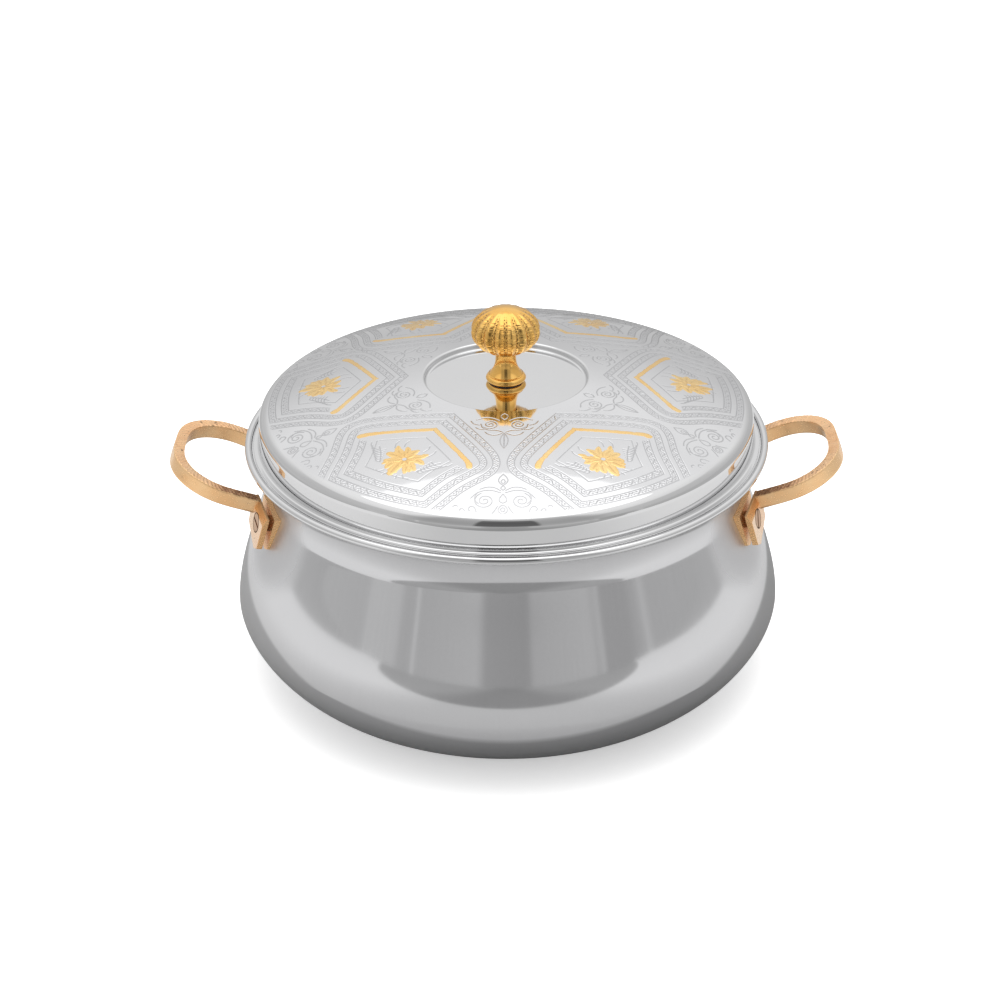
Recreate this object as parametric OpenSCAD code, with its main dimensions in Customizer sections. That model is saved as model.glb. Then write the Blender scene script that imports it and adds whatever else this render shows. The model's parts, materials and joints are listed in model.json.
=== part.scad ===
// Insulated serving pot with a lift-off domed lid, two cast loop handles and a turned knob.
// Double-walled sheet metal with foam between the walls; the pot stands on z = 0, +Z is up,
// and the two handles lie along X.

/* [Pot] */
// Radius of the belly at its widest line
belly_r = 137.5; // [130:0.5:145]
// Height of the belly's widest line
belly_z = 41.5; // [38:0.5:46]
// Outer radius of the flat foot ring that the pot stands on
foot_r = 92; // [86:1:98]
// Width of the foot ring
foot_w = 6; // [4:0.5:8]
// Height of the recess inside the foot ring
foot_h = 2.5; // [2:0.25:4]
// How much narrower the neck is than the rolled rim, in radius, where its straight wall ends
neck_in = 9.6; // [9:0.2:10.4]
// Height at which the neck's straight wall ends
neck_z = 101.4; // [100:0.2:103]
// Slope of the neck's straight wall from the vertical, degrees
neck_tilt = 18.9; // [17:0.1:20]

/* [Rim and bowl] */
// Height of the ledge that the lid rests on
ledge_z = 125; // [124:0.5:128]
// Outer radius of the rolled rim
rim_r = 130; // [129:0.25:132]
// Radius of the rolled rim's round section
curl_r = 1.9; // [1.6:0.1:2.2]
// Width of the ring from the rolled rim's outside to the bowl's mouth
ledge_w = 18; // [17:0.5:21]
// Rounding of the mouth's edge
mouth_round = 2; // [1:0.25:3]
// Height of the bowl's floor
bowl_floor_z = 18; // [14:1:24]
// Rounding between the bowl's floor and wall
bowl_round = 30; // [22:1:34]
// How much narrower the bowl's wall is at its foot than at the mouth
bowl_taper = 4; // [2:0.5:8]

/* [Sheet metal and foam] */
// Thickness of the outer sheets
shell_t = 0.8; // [0.6:0.1:1]
// Thickness of the inner sheets
liner_t = 0.7; // [0.5:0.1:0.8]
// Clearance between the foam and the sheets
foam_gap = 0.3; // [0.2:0.05:0.5]

/* [Lid] */
// Clearance between the lid's flange and the rolled rim
flange_gap = 0.6; // [0.4:0.1:1]
// Width of the lid's flange outside its side wall
flange_w = 3.1; // [2.5:0.1:4]
// Height from the ledge to the end of the lid's straight side wall
lid_wall_h = 12.6; // [10:0.2:15]
// Rounding between the side wall and the dome
shoulder_r = 6.5; // [5:0.25:8]
// Rise of the dome from its shoulder to the lip of the well
dome_rise = 14.44; // [11:0.5:17]
// Share of the dome's rise that is a straight cone
dome_cone = 0.5; // [0.3:0.05:0.7]
// How late the rest of the dome's rise curves down: 2 is a parabola
dome_pow = 2.6; // [2:0.1:3.2]
// Radius of the mirror-flat well round the knob
well_r = 40; // [35:0.5:44]
// Depth of the well
well_d = 3; // [2.6:0.1:4]
// Rounding of the well's lip and foot
lip_r = 1.2; // [0.9:0.1:1.3]
// Radial clearance between the lid's plug and the bowl's mouth
plug_gap = 1; // [0.6:0.1:2]
// How far the lid's plug reaches below the ledge
plug_h = 17; // [14:0.5:22]
// Rounding of the plug's lower edge
plug_round = 6; // [4:0.5:8]

/* [Knob] */
// Half the width of the knob's head
head_r = 17; // [15:0.25:19]
// Half the height of the knob's head
head_h = 12; // [10.5:0.25:13]
// Number of lobes on the knob's head
lobes = 16; // [12:1:20]
// Depth of the grooves between the lobes
groove_d = 1.1; // [0.6:0.1:1.4]
// Height of the knob's stem
stem_h = 15.2; // [14:0.2:18]
// Radius of the stem's bead at its foot
stem_bead_r = 9.9; // [9:0.1:11]
// Radius of the stem's waist
stem_waist_r = 5; // [4.4:0.1:5.6]
// Thickness of the gasket under the stem
gasket_t = 0.4; // [0.3:0.1:0.8]
// Radius of the rod that holds the knob
rod_r = 2.5; // [2:0.1:3]
// Radial clearance of the rod in its holes
rod_gap = 0.2; // [0.1:0.05:0.4]
// Wall of the tube that keeps the lid's sheets apart
tube_wall = 1.8; // [1.2:0.1:2.4]
// Radius of the washer under the lid
washer_r = 8; // [7:0.5:10]
// Thickness of the washer under the lid
washer_t = 1; // [0.8:0.1:1.6]
// Width of the cap nut across its flats
cap_af = 8; // [7:0.5:10]
// Height of the cap nut's hexagon
cap_h = 4; // [3:0.5:5]

/* [Handles] */
// How far the loop's end lies outside the rolled rim
loop_reach = 38; // [34:0.5:42]
// Half the loop's width at its widest line
loop_half_w = 36.5; // [35:0.5:39]
// Outer radius of the loop's two bends
loop_bend_r = 29; // [26:1:32]
// How far the arms draw together towards the pot, degrees
loop_pinch = 9; // [6:0.5:11]
// Height of the loop's top face at its root
loop_root_z = 108.2; // [107.6:0.2:109]
// Rise of the loop from the pot to its end, degrees
loop_tilt = 21.5; // [18:0.5:24]
// Thickness of the handle's bar
bar_t = 5.5; // [4.8:0.1:6]
// Height of the handle's bar
bar_h = 8; // [7:0.25:9]
// Chamfer along the bar's edges
bar_edge = 0.5; // [0.3:0.1:0.8]

/* [Lugs] */
// Direction of the screws from the X axis, degrees
lug_az = 18.5; // [17.5:0.25:19.5]
// Height of the screws
screw_z = 99; // [98:0.25:100]
// Thickness of the lug plate on the handle
lug_t = 3; // [2.8:0.1:3.4]
// Slope of the lugs from the vertical, degrees
lug_tilt = 13; // [11.5:0.5:14.5]
// Thickness of the mount plate against the wall, at its centre
mount_t = 2.5; // [2.3:0.1:2.9]
// Length of the sleeve that keeps the two plates apart
sleeve_l = 2.4; // [2.1:0.1:2.8]
// Reach of the lug from its screw towards the middle of the handle
lug_in_w = 12.75; // [12.25:0.25:14]
// Reach of the lug from its screw to its outer shoulder
lug_out_w = 11.5; // [10:0.25:13]
// Height of the lug's inner top corner above the screw
lug_up = 9.25; // [9:0.25:10.5]
// Height of the lug's outer shoulder above the screw
lug_shoulder = 7; // [6:0.25:8]
// Depth of the lug's inner side corner below the screw
lug_side_drop = 5; // [4.5:0.25:6]
// Sideways place of the lug's tip from the screw
lug_tip_y = 5.5; // [4:0.25:6.5]
// Half the width of the lug at its tip
lug_tip_w = 2.6; // [2:0.1:3]
// Slope of the lug's tip, degrees
lug_tip_slope = 22; // [10:1:28]
// Depth of the lug's tip below the screw
lug_down = 11.5; // [10.5:0.25:12]
// Height of the bevel along the lug's top edge
lug_bevel_h = 4; // [3:0.25:4.5]
// Depth of the bevel along the lug's top edge
lug_bevel_d = 1.8; // [1:0.1:2.2]
// Radius of the screws
screw_r = 2.5; // [2:0.1:2.8]
// Radius of the screws' countersunk heads
screw_head_r = 4.5; // [4:0.1:4.8]
// Length of the screws
screw_l = 15; // [14:0.5:16]
// Width of the slot in the screws' heads
slot_w = 1.2; // [0.8:0.1:1.6]
// Depth of the slot in the screws' heads
slot_d = 1; // [0.6:0.1:1.2]
// Radial clearance of the screws in the plates
screw_gap = 0.15; // [0.1:0.05:0.3]
// Outer radius of the sleeves
sleeve_r = 4; // [3.6:0.1:5]
// Radius of the nuts' barrels
nut_r = 4; // [3.6:0.1:4.5]
// Radius of the nuts' flanges
nut_flange_r = 5; // [4.75:0.25:6]
// Thickness of the nuts' flanges
nut_flange_t = 1; // [0.8:0.1:1.4]
// Length of the nuts' barrels
nut_l = 5; // [4:0.5:6]

/* [Hidden] */

// Round surfaces are drawn fine enough to count as true circles.
$fn = 96;
// Steps along each curve of a profile
curve_n = 14;
// Running clearance between screw threads and their nuts
thread_gap = 0.05;
// Clearance between a mount plate's saddle and the wall
saddle_gap = 0.05;
// Overlap of solids that are fused into one piece
fuse = 0.2;

// Left-hand normal of the line through a and b
function left_normal(a, b) = [a[1] - b[1], b[0] - a[0]] / norm(b - a);

// Path moved sideways by d, to its left
function shifted(path, d) = [
    for (i = [0:len(path) - 1])
        let (n1 = left_normal(path[max(i - 1, 0)], path[max(i, 1)]))
        let (n2 = left_normal(path[min(i, len(path) - 2)], path[min(i + 1, len(path) - 1)]))
        path[i] + (n1 + n2) * d / (1 + n1 * n2)
];

function reversed(path) = [for (i = [len(path) - 1:-1:0]) path[i]];

// Closed outline of a sheet of thickness t along a path, to its left
function sheet(path, t) = concat(path, reversed(shifted(path, t)));

// Points of an arc round c; both ends are included
function arc(c, r, a0, a1, n = curve_n) = [for (i = [0:n]) c + r * [cos(a0 + (a1 - a0) * i / n),
                                                                     sin(a0 + (a1 - a0) * i / n)]];

// Points of a cubic curve, without its first point
function cubic(p0, p1, p2, p3, n = curve_n) = [
    for (i = [1:n])
        let (t = i / n, u = 1 - t)
        u * u * u * p0 + 3 * u * u * t * p1 + 3 * u * t * t * p2 + t * t * t * p3
];

// ---- Profile of the pot's outer wall, from the base out and up to the seam under the rim ----
neck_r = rim_r - neck_in;
seam_z = ledge_z - liner_t - shell_t;
seam_r = rim_r - curl_r;
foot_in_r = foot_r - foot_w;
base_lip_w = 7;
base_slope = 3;
// Shape of the turn from the foot ring to the belly: 1 is an ellipse, more is leaner
belly_lean = 1.25;
belly_pull = 15.4;
neck_pull = 21.9;
flare_pull = 11.2;
flare_w = 4.9;
flare_round = 5.6;
neck_dir = [-sin(neck_tilt), cos(neck_tilt)];
neck_pt = [neck_r, neck_z];
belly_pt = [belly_r, belly_z];
flare_pt = [neck_r + flare_w, seam_z];
foot_path = [
    [foot_in_r - base_slope - base_lip_w, foot_h],
    [foot_in_r - base_slope, foot_h],
    [foot_in_r, 0],
    [foot_r, 0]
];
turn_path = [
    for (i = [1:2 * curve_n])
        let (a = 90 - 90 * i / (2 * curve_n))
        [foot_r + (belly_r - foot_r) * pow(cos(a), belly_lean), belly_z * (1 - pow(sin(a), belly_lean))]
];
side_path = cubic(belly_pt, belly_pt + [0, belly_pull], neck_pt - neck_pull * neck_dir, neck_pt,
                  2 * curve_n);
flare_path = cubic(neck_pt, neck_pt + flare_pull * neck_dir, flare_pt - [flare_round, 0], flare_pt);
wall_path = concat(foot_path, turn_path, side_path, flare_path);
shell_path = concat(wall_path, [[seam_r, seam_z]]);

// ---- Profile of the bowl, from its centre out and up to the ledge ----
mouth_r = rim_r - ledge_w;
bowl_foot_r = mouth_r - bowl_taper;
bowl_lean = atan(bowl_taper / (ledge_z - mouth_round - bowl_floor_z - bowl_round));
curl_rise = 0.4;
curl_pt = [rim_r - curl_r, ledge_z + curl_rise];
curl_start = 215;
curl_end = -75;
bowl_path = concat(
    [[0, bowl_floor_z]],
    arc([bowl_foot_r - bowl_round, bowl_floor_z + bowl_round], bowl_round, -90, -bowl_lean),
    arc([mouth_r + mouth_round, ledge_z - mouth_round], mouth_round, 180, 90, 6),
    [[rim_r - 2 * curl_r + liner_t, ledge_z]]
);

// ---- Profile of the lid's outer sheet, from its flange in and up to the knob ----
flange_top = ledge_z + liner_t + shell_t;
flange_r = rim_r - 2 * curl_r - flange_gap;
lid_wall_r = flange_r - flange_w;
flange_round = 1.5;
shoulder_c = [lid_wall_r - shoulder_r, ledge_z + lid_wall_h];
dome_in_r = well_r + lip_r;
shoulder_tilt = atan((dome_cone + (1 - dome_cone) * dome_pow) * dome_rise / (shoulder_c[0] - dome_in_r));
dome_out = shoulder_c + shoulder_r * [sin(shoulder_tilt), cos(shoulder_tilt)];
dome_top = dome_out[1] + dome_rise;
well_z = dome_top - well_d;
rod_hole_r = rod_r + rod_gap;
function dome_z(r) = let (u = (r - dome_in_r) / (dome_out[0] - dome_in_r))
    dome_top - dome_rise * (dome_cone * u + (1 - dome_cone) * pow(u, dome_pow));
dome_n = 26;
dome_path = [
    for (i = [1:dome_n - 1])
        let (r = dome_out[0] + (dome_in_r - dome_out[0]) * i / dome_n)
        [r, dome_z(r)]
];
lid_rise_path = concat(
    arc([lid_wall_r + flange_round, flange_top + flange_round], flange_round, -90, -180, 6),
    arc(shoulder_c, shoulder_r, 0, 90 - shoulder_tilt),
    dome_path,
    arc([dome_in_r, dome_top - lip_r], lip_r, 90, 180, 6),
    arc([well_r - lip_r, well_z + lip_r], lip_r, 0, -90, 6)
);
lid_path = concat([[flange_r, flange_top]], lid_rise_path, [[rod_hole_r, well_z]]);

// ---- Profile of the lid's inner pan, from its flange in and down to the plug's floor ----
plug_r = mouth_r - plug_gap;
plug_z = ledge_z - plug_h;
hem_gap = 0.1;
pan_turn = concat(
    arc([plug_r + flange_round, ledge_z - flange_round], flange_round, 90, 180, 6),
    arc([plug_r - plug_round, plug_z + plug_round], plug_round, 0, -90, 8)
);
pan_path = concat([[flange_r - shell_t - hem_gap, ledge_z]], pan_turn, [[rod_hole_r, plug_z]]);

// ---- Places on the handles ----
lug_stack = lug_t + sleeve_l + mount_t;
// Distances from the axis to the wall and to the lug's outer face, at the screw
screw_wall_r = neck_r + (neck_z - screw_z) * tan(neck_tilt);
screw_face_r = screw_wall_r + lug_stack / cos(lug_tilt);
// Clearance of the nuts' flanges from the wall, which leans more than they do
nut_gap = (nut_flange_r + shell_t) * tan(neck_tilt - lug_tilt) + saddle_gap;
nut_face = -lug_stack - shell_t - nut_gap;
loop_end_x = rim_r + loop_reach;
loop_bend_c = [loop_end_x - loop_bend_r, loop_half_w - loop_bend_r];
loop_root_x = screw_face_r * cos(lug_az);
seat_angle = asin((stem_waist_r + 0.4) / head_r);
head_z = well_z + gasket_t + stem_h + head_h * cos(seat_angle);

// Children stand on a lug, their origin at the screw: +X out of the plate's face,
// +Y away from the middle of the handle, +Z up along the plate
module on_lug(side, front) {
    mirror([side, 0, 0])
        mirror([0, front ? 1 : 0, 0])
            rotate([0, 0, lug_az])
                translate([screw_face_r, 0, screw_z])
                    rotate([0, -lug_tilt, 0])
                        children();
}

// Children on all four lugs
module on_all_lugs() {
    for (side = [0, 1])
        for (front = [true, false])
            on_lug(side, front) children();
}

// Cylinder along the local X axis, from x0 to x1
module x_rod(r, x0, x1) {
    translate([x0, 0, 0]) rotate([0, 90, 0]) cylinder(r = r, h = x1 - x0);
}

// Point on the lug's sloping tip, at a distance from the tip's middle
function lug_tip(d) = [lug_tip_y + d * cos(lug_tip_slope), d * sin(lug_tip_slope) - lug_down];

// Outline of a lug in its own plane, extruded from x0 to x1
module lug_slab(x0, x1) {
    translate([x0, 0, 0])
        rotate([90, 0, 90])
            linear_extrude(x1 - x0)
                polygon([[-lug_in_w, lug_up], [-lug_in_w, -lug_side_drop], lug_tip(-lug_tip_w),
                         lug_tip(lug_tip_w), [lug_out_w, lug_shoulder]]);
}

// ---- The pot ----
module outer_shell() {
    color("silver")
        difference() {
            rotate_extrude() polygon(sheet(shell_path, shell_t));
            on_all_lugs() x_rod(screw_r + screw_gap, -screw_l - 4, 0);
        }
}

module inner_bowl() {
    color("gainsboro") {
        rotate_extrude() polygon(sheet(bowl_path, -liner_t));
        rotate_extrude() curl_section();
    }
}

// Round section of the rolled rim, open below where the outer sheet's seam goes in
module curl_section() {
    intersection() {
        translate(curl_pt)
            difference() {
                circle(curl_r);
                circle(curl_r - liner_t);
            }
        translate(curl_pt)
            polygon(concat([[0, 0]], arc([0, 0], 2 * curl_r, curl_end, curl_start, 24)));
    }
}

// Closing plate inside the foot ring, with a pressed stiffening ring
base_gap = 0.6;
base_rib_r = 50;
base_rib_w = 5;
base_rib_h = 1;
module base_plate() {
    r = foot_in_r - base_slope - base_gap;
    color("silver")
        rotate_extrude()
            polygon(sheet([[0, foot_h - shell_t], [base_rib_r - base_rib_w, foot_h - shell_t],
                           [base_rib_r - base_rib_w + base_rib_h, foot_h - shell_t - base_rib_h],
                           [base_rib_r - base_rib_h, foot_h - shell_t - base_rib_h],
                           [base_rib_r, foot_h - shell_t], [r, foot_h - shell_t]], shell_t));
}

module body_insulation() {
    skin = shell_t + foam_gap;
    bowl_skin = liner_t + foam_gap;
    color("khaki")
        difference() {
            rotate_extrude()
                difference() {
                    polygon(concat([[0, foot_h + skin]], shifted(wall_path, skin),
                                   reversed(shifted(bowl_path, -bowl_skin))));
                    translate([0, ledge_z - bowl_skin]) square([rim_r, rim_r]);
                }
            on_all_lugs() {
                x_rod(nut_flange_r + foam_gap, nut_face - nut_flange_t - foam_gap, 0);
                x_rod(nut_r + foam_gap, nut_face - nut_flange_t - nut_l - foam_gap, 0);
                x_rod(screw_r + foam_gap, -screw_l - foam_gap, 0);
            }
        }
}

// ---- The handles ----
// Section of the bar: its outer face at x = 0, its top face at z = 0
module bar_section() {
    polygon([[0, -bar_edge], [-bar_edge, 0], [-bar_t + bar_edge, 0], [-bar_t, -bar_edge],
             [-bar_t, -bar_h + bar_edge], [-bar_t + bar_edge, -bar_h], [-bar_edge, -bar_h],
             [0, -bar_h + bar_edge]]);
}

// Straight bar of length l along -Y; its outer face looks along +X
module bar(l) {
    rotate([90, 0, 0]) linear_extrude(l) bar_section();
}

// Half of the loop on the +Y side, from the middle of its end to the arm's root
module half_loop(arm_l) {
    translate([loop_bend_c[0] + loop_bend_r, loop_bend_c[1], 0]) bar(loop_bend_c[1] + fuse);
    translate([loop_bend_c[0], loop_bend_c[1], 0]) {
        rotate_extrude(angle = 90 + loop_pinch) translate([loop_bend_r, 0]) bar_section();
        rotate([0, 0, 90 + loop_pinch])
            translate([loop_bend_r, arm_l, 0])
                bar(arm_l + fuse / 2);
    }
}

// Loop and two lugs, cast in one piece, on the +X side
module handle() {
    arm_l = loop_bend_c[0] - loop_root_x + 2 * lug_stack;
    difference() {
        union() {
            difference() {
                translate([loop_root_x, 0, loop_root_z])
                    rotate([0, -loop_tilt, 0])
                        translate([-loop_root_x, 0, 0]) {
                            half_loop(arm_l);
                            mirror([0, 1, 0]) half_loop(arm_l);
                        }
                for (front = [true, false])
                    on_lug(0, front)
                        translate([-lug_t / 2 - 4 * bar_t, -4 * bar_h, -4 * bar_h])
                            cube([4 * bar_t, 8 * bar_h, 8 * bar_h]);
            }
            for (front = [true, false])
                on_lug(0, front)
                    difference() {
                        lug_slab(-lug_t, 0);
                        lug_bevel();
                    }
        }
        for (front = [true, false])
            on_lug(0, front) {
                x_rod(screw_r + screw_gap, -lug_t - 1, 1);
                countersink(screw_gap);
            }
    }
}

// Wedge cut off along the top edge of a lug's face
module lug_bevel() {
    run = lug_in_w + lug_out_w;
    slope = atan((lug_up - lug_shoulder) / run);
    lean = atan(lug_bevel_d / lug_bevel_h);
    translate([0, lug_out_w, lug_shoulder - lug_bevel_h])
        rotate([-slope, 0, 0])
            rotate([0, -lean, 0])
                translate([0, -2 * run, 0])
                    cube([4 * lug_t, 3 * run, 4 * lug_bevel_h]);
}

// Cone under a screw's head, wider by gap
module countersink(gap) {
    translate([-screw_head_r - gap + screw_r, 0, 0])
        rotate([0, 90, 0])
            cylinder(r1 = screw_r, r2 = screw_head_r + gap, h = screw_head_r + gap - screw_r);
}

module right_handle() {
    color("goldenrod") handle();
}

module left_handle() {
    color("goldenrod") mirror([1, 0, 0]) handle();
}

// Half section of the wall beside the mount plates
function saddle_outline() =
    let (path = shifted(concat(side_path, flare_path), -saddle_gap))
    concat([[0, path[0][1]]], path, [[0, path[len(path) - 1][1]]]);

// Plate between the sleeve and the wall, its back shaped to the wall
module mount_plate(side, front) {
    color("goldenrod")
        difference() {
            on_lug(side, front)
                difference() {
                    lug_slab(-lug_stack - mount_t, -lug_t - sleeve_l);
                    x_rod(screw_r + screw_gap, -3 * lug_stack, 0);
                }
            rotate_extrude($fn = 720) polygon(saddle_outline());
        }
}

module left_front_mount_plate() {
    mount_plate(1, true);
}

module left_rear_mount_plate() {
    mount_plate(1, false);
}

module right_front_mount_plate() {
    mount_plate(0, true);
}

module right_rear_mount_plate() {
    mount_plate(0, false);
}

module handle_sleeves() {
    color("darkgoldenrod")
        on_all_lugs()
            difference() {
                x_rod(sleeve_r, -lug_t - sleeve_l, -lug_t);
                x_rod(screw_r + screw_gap, -lug_t - sleeve_l - 1, -lug_t + 1);
            }
}

// Countersunk slotted screws
module handle_screws() {
    color("sienna")
        for (side = [0, 1], i = [0, 1])
            on_lug(side, i == 0)
                difference() {
                    union() {
                        x_rod(screw_r, -screw_l, -(screw_head_r - screw_r) / 2);
                        countersink(0);
                    }
                    rotate([slot_turns[side][i], 0, 0])
                        translate([-slot_d, -2 * screw_head_r, -slot_w / 2])
                            cube([2 * slot_d, 4 * screw_head_r, slot_w]);
                }
}
// Turn of each slot: right front, right rear, left front, left rear
slot_turns = [[119, 62], [170, 97]];

// Flanged nuts behind the wall
module handle_nuts() {
    color("gray")
        on_all_lugs()
            difference() {
                union() {
                    x_rod(nut_flange_r, nut_face - nut_flange_t, nut_face);
                    x_rod(nut_r, nut_face - nut_flange_t - nut_l, nut_face);
                }
                x_rod(screw_r + thread_gap, nut_face - nut_flange_t - nut_l - 1, nut_face + 1);
            }
}

// ---- The lid ----
module lid_shell() {
    color("silver")
        rotate_extrude() {
            polygon(sheet(lid_path, shell_t));
            translate([flange_r - shell_t, ledge_z]) square([shell_t, flange_top - ledge_z - fuse]);
        }
}

module lid_liner() {
    color("gainsboro") rotate_extrude() polygon(sheet(pan_path, -liner_t));
}

module lid_insulation() {
    hole_r = rod_hole_r + tube_wall + foam_gap;
    inner = shifted(concat([[lid_wall_r, ledge_z]], pan_turn, [[hole_r, plug_z]]), -liner_t - foam_gap);
    outer = shifted(concat(lid_rise_path, [[hole_r, well_z]]), shell_t + foam_gap);
    color("khaki")
        rotate_extrude()
            difference() {
                polygon(concat(outer, reversed(inner)));
                translate([lid_wall_r - shell_t - foam_gap, 0]) square([rim_r, 2 * rim_r]);
            }
}

module lid_spacer_tube() {
    color("gray")
        difference() {
            translate([0, 0, plug_z + liner_t])
                cylinder(r = rod_hole_r + tube_wall, h = well_z - shell_t - plug_z - liner_t);
            cylinder(r = rod_hole_r, h = well_z);
        }
}

// ---- The knob ----
stem_foot_r = 8.6;
module knob_gasket() {
    color("dimgray")
        translate([0, 0, well_z])
            difference() {
                cylinder(r = stem_foot_r, h = gasket_t);
                translate([0, 0, -1]) cylinder(r = rod_hole_r, h = gasket_t + 2);
            }
}

// Turned stem: a bead at its foot, a thin ledge, and a cove up to the waist
module knob_stem() {
    bead_h = 3.4;
    ledge_h = 0.5;
    ledge_r = stem_bead_r - 1.1;
    cove_r = ledge_r - 0.5;
    top = stem_h;
    bead = [for (i = [0:8]) [stem_foot_r + (stem_bead_r - stem_foot_r) * sin(180 * i / 8),
                             bead_h * i / 8]];
    cove = cubic([cove_r, bead_h + ledge_h], [cove_r - 2.4, bead_h + ledge_h + 3],
                 [stem_waist_r, top - 7], [stem_waist_r, top], 10);
    color("gold")
        translate([0, 0, well_z + gasket_t])
            rotate_extrude()
                polygon(concat([[rod_hole_r, 0]], bead, [[ledge_r, bead_h], [ledge_r, bead_h + ledge_h],
                               [cove_r, bead_h + ledge_h]], cove, [[rod_hole_r, top]]));
}

// Cast head: a flattened ball with a groove between every two lobes.
// Rows of points run from the seat on the stem to the top, columns run round.
rows = 20;
per_lobe = 6;
function groove(az) = pow(abs(cos(az * lobes / 2)), 10);
function head_point(polar, az) =
    let (r = head_r * sin(polar) - groove_d * groove(az) * pow(sin(polar), 1.5))
    [r * cos(az), r * sin(az), head_z - head_h * cos(polar)];
module knob_head() {
    cols = lobes * per_lobe;
    polar = [for (i = [0:rows]) seat_angle + (176 - seat_angle) * i / rows];
    points = concat(
        [for (p = polar, j = [0:cols - 1]) head_point(p, 360 * j / cols)],
        [[0, 0, head_z - head_h * cos(seat_angle)], [0, 0, head_z + head_h]]
    );
    low = (rows + 1) * cols;
    sides = [
        for (i = [0:rows - 1], j = [0:cols - 1])
            let (a = i * cols + j, b = i * cols + (j + 1) % cols)
            each [[a, a + cols, b], [b, a + cols, b + cols]]
    ];
    ends = [
        for (j = [0:cols - 1])
            each [[j, (j + 1) % cols, low], [rows * cols + (j + 1) % cols, rows * cols + j, low + 1]]
    ];
    color("gold")
        difference() {
            polyhedron(points, concat(sides, ends));
            translate([0, 0, head_z - 2 * head_h]) cylinder(r = rod_r + thread_gap, h = 2 * head_h + 2);
        }
}

rod_top = head_z + 1;
rod_low = plug_z - washer_t - cap_h;
module knob_rod() {
    color("gray") translate([0, 0, rod_low]) cylinder(r = rod_r, h = rod_top - rod_low);
}

module knob_washer() {
    color("gray")
        translate([0, 0, plug_z - washer_t])
            difference() {
                cylinder(r = washer_r, h = washer_t);
                translate([0, 0, -1]) cylinder(r = rod_hole_r, h = washer_t + 2);
            }
}

// Hexagonal cap nut with a domed end
module knob_cap_nut() {
    corner_r = cap_af / 2 / cos(30);
    dome_r = cap_af / 2 - 0.4;
    color("silver")
        translate([0, 0, plug_z - washer_t])
            mirror([0, 0, 1])
                difference() {
                    union() {
                        cylinder(r = corner_r, h = cap_h, $fn = 6);
                        translate([0, 0, cap_h])
                            intersection() {
                                sphere(dome_r);
                                cylinder(r = dome_r, h = dome_r);
                            }
                    }
                    translate([0, 0, -1]) cylinder(r = rod_r + thread_gap, h = cap_h + 1 + fuse);
                }
}

outer_shell();
inner_bowl();
base_plate();
body_insulation();
left_handle();
right_handle();
left_front_mount_plate();
left_rear_mount_plate();
right_front_mount_plate();
right_rear_mount_plate();
handle_sleeves();
handle_screws();
handle_nuts();
lid_shell();
lid_liner();
lid_insulation();
lid_spacer_tube();
knob_gasket();
knob_stem();
knob_head();
knob_rod();
knob_washer();
knob_cap_nut();
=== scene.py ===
"""Looks of the insulated serving pot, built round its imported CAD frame."""
import json
import math

import bmesh
import bpy
import numpy as np
from mathutils import Matrix, Vector


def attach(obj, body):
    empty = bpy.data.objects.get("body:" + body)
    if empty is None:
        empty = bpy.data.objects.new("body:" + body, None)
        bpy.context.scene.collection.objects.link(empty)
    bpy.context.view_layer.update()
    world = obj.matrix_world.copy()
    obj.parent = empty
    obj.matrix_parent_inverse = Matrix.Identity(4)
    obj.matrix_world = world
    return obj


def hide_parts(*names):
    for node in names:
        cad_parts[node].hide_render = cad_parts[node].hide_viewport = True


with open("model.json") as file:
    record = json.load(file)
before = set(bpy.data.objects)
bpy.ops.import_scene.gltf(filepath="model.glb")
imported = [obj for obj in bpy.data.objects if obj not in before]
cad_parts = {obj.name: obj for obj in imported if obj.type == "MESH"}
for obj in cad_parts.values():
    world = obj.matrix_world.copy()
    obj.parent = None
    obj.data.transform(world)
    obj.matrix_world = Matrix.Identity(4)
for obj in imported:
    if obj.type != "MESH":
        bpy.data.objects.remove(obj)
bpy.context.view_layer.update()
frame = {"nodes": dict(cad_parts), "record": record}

MM = 0.001

# ------ camera and studio, in metres

ELEVATION, ROLL, DISTANCE = math.radians(28.0), math.radians(-0.45), 1.150
TARGET = np.array([0.0, 0.0, 0.0885])
LENS, SENSOR, SHIFT_X = 81.72, 36.0, -0.0069
FLOOR_HALF, DOME_R = 6.0, 3.0
LAMP_AT, LAMP_TARGET, LAMP_SIZE, LAMP_WATTS = (0.0, 0.3, 2.6), (0, 0, 0.08), 2.8, 10.0
WHITE = (1.0, 1.0, 1.0, 1.0)


def add_object(name, data):
    o = bpy.data.objects.new(name, data)
    bpy.context.scene.collection.objects.link(o)
    return o


def add_camera():
    data = bpy.data.cameras.new("camera")
    data.sensor_width, data.lens, data.shift_x = SENSOR, LENS, SHIFT_X
    data.clip_start, data.clip_end = 0.05, 50.0
    cam = add_object("camera", data)
    cam.location = TARGET + DISTANCE * np.array([0.0, -math.cos(ELEVATION), math.sin(ELEVATION)])
    cam.rotation_euler = (Matrix.Rotation(math.pi / 2 - ELEVATION, 3, "X")
                          @ Matrix.Rotation(ROLL, 3, "Z")).to_euler()
    bpy.context.scene.camera = cam


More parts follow.
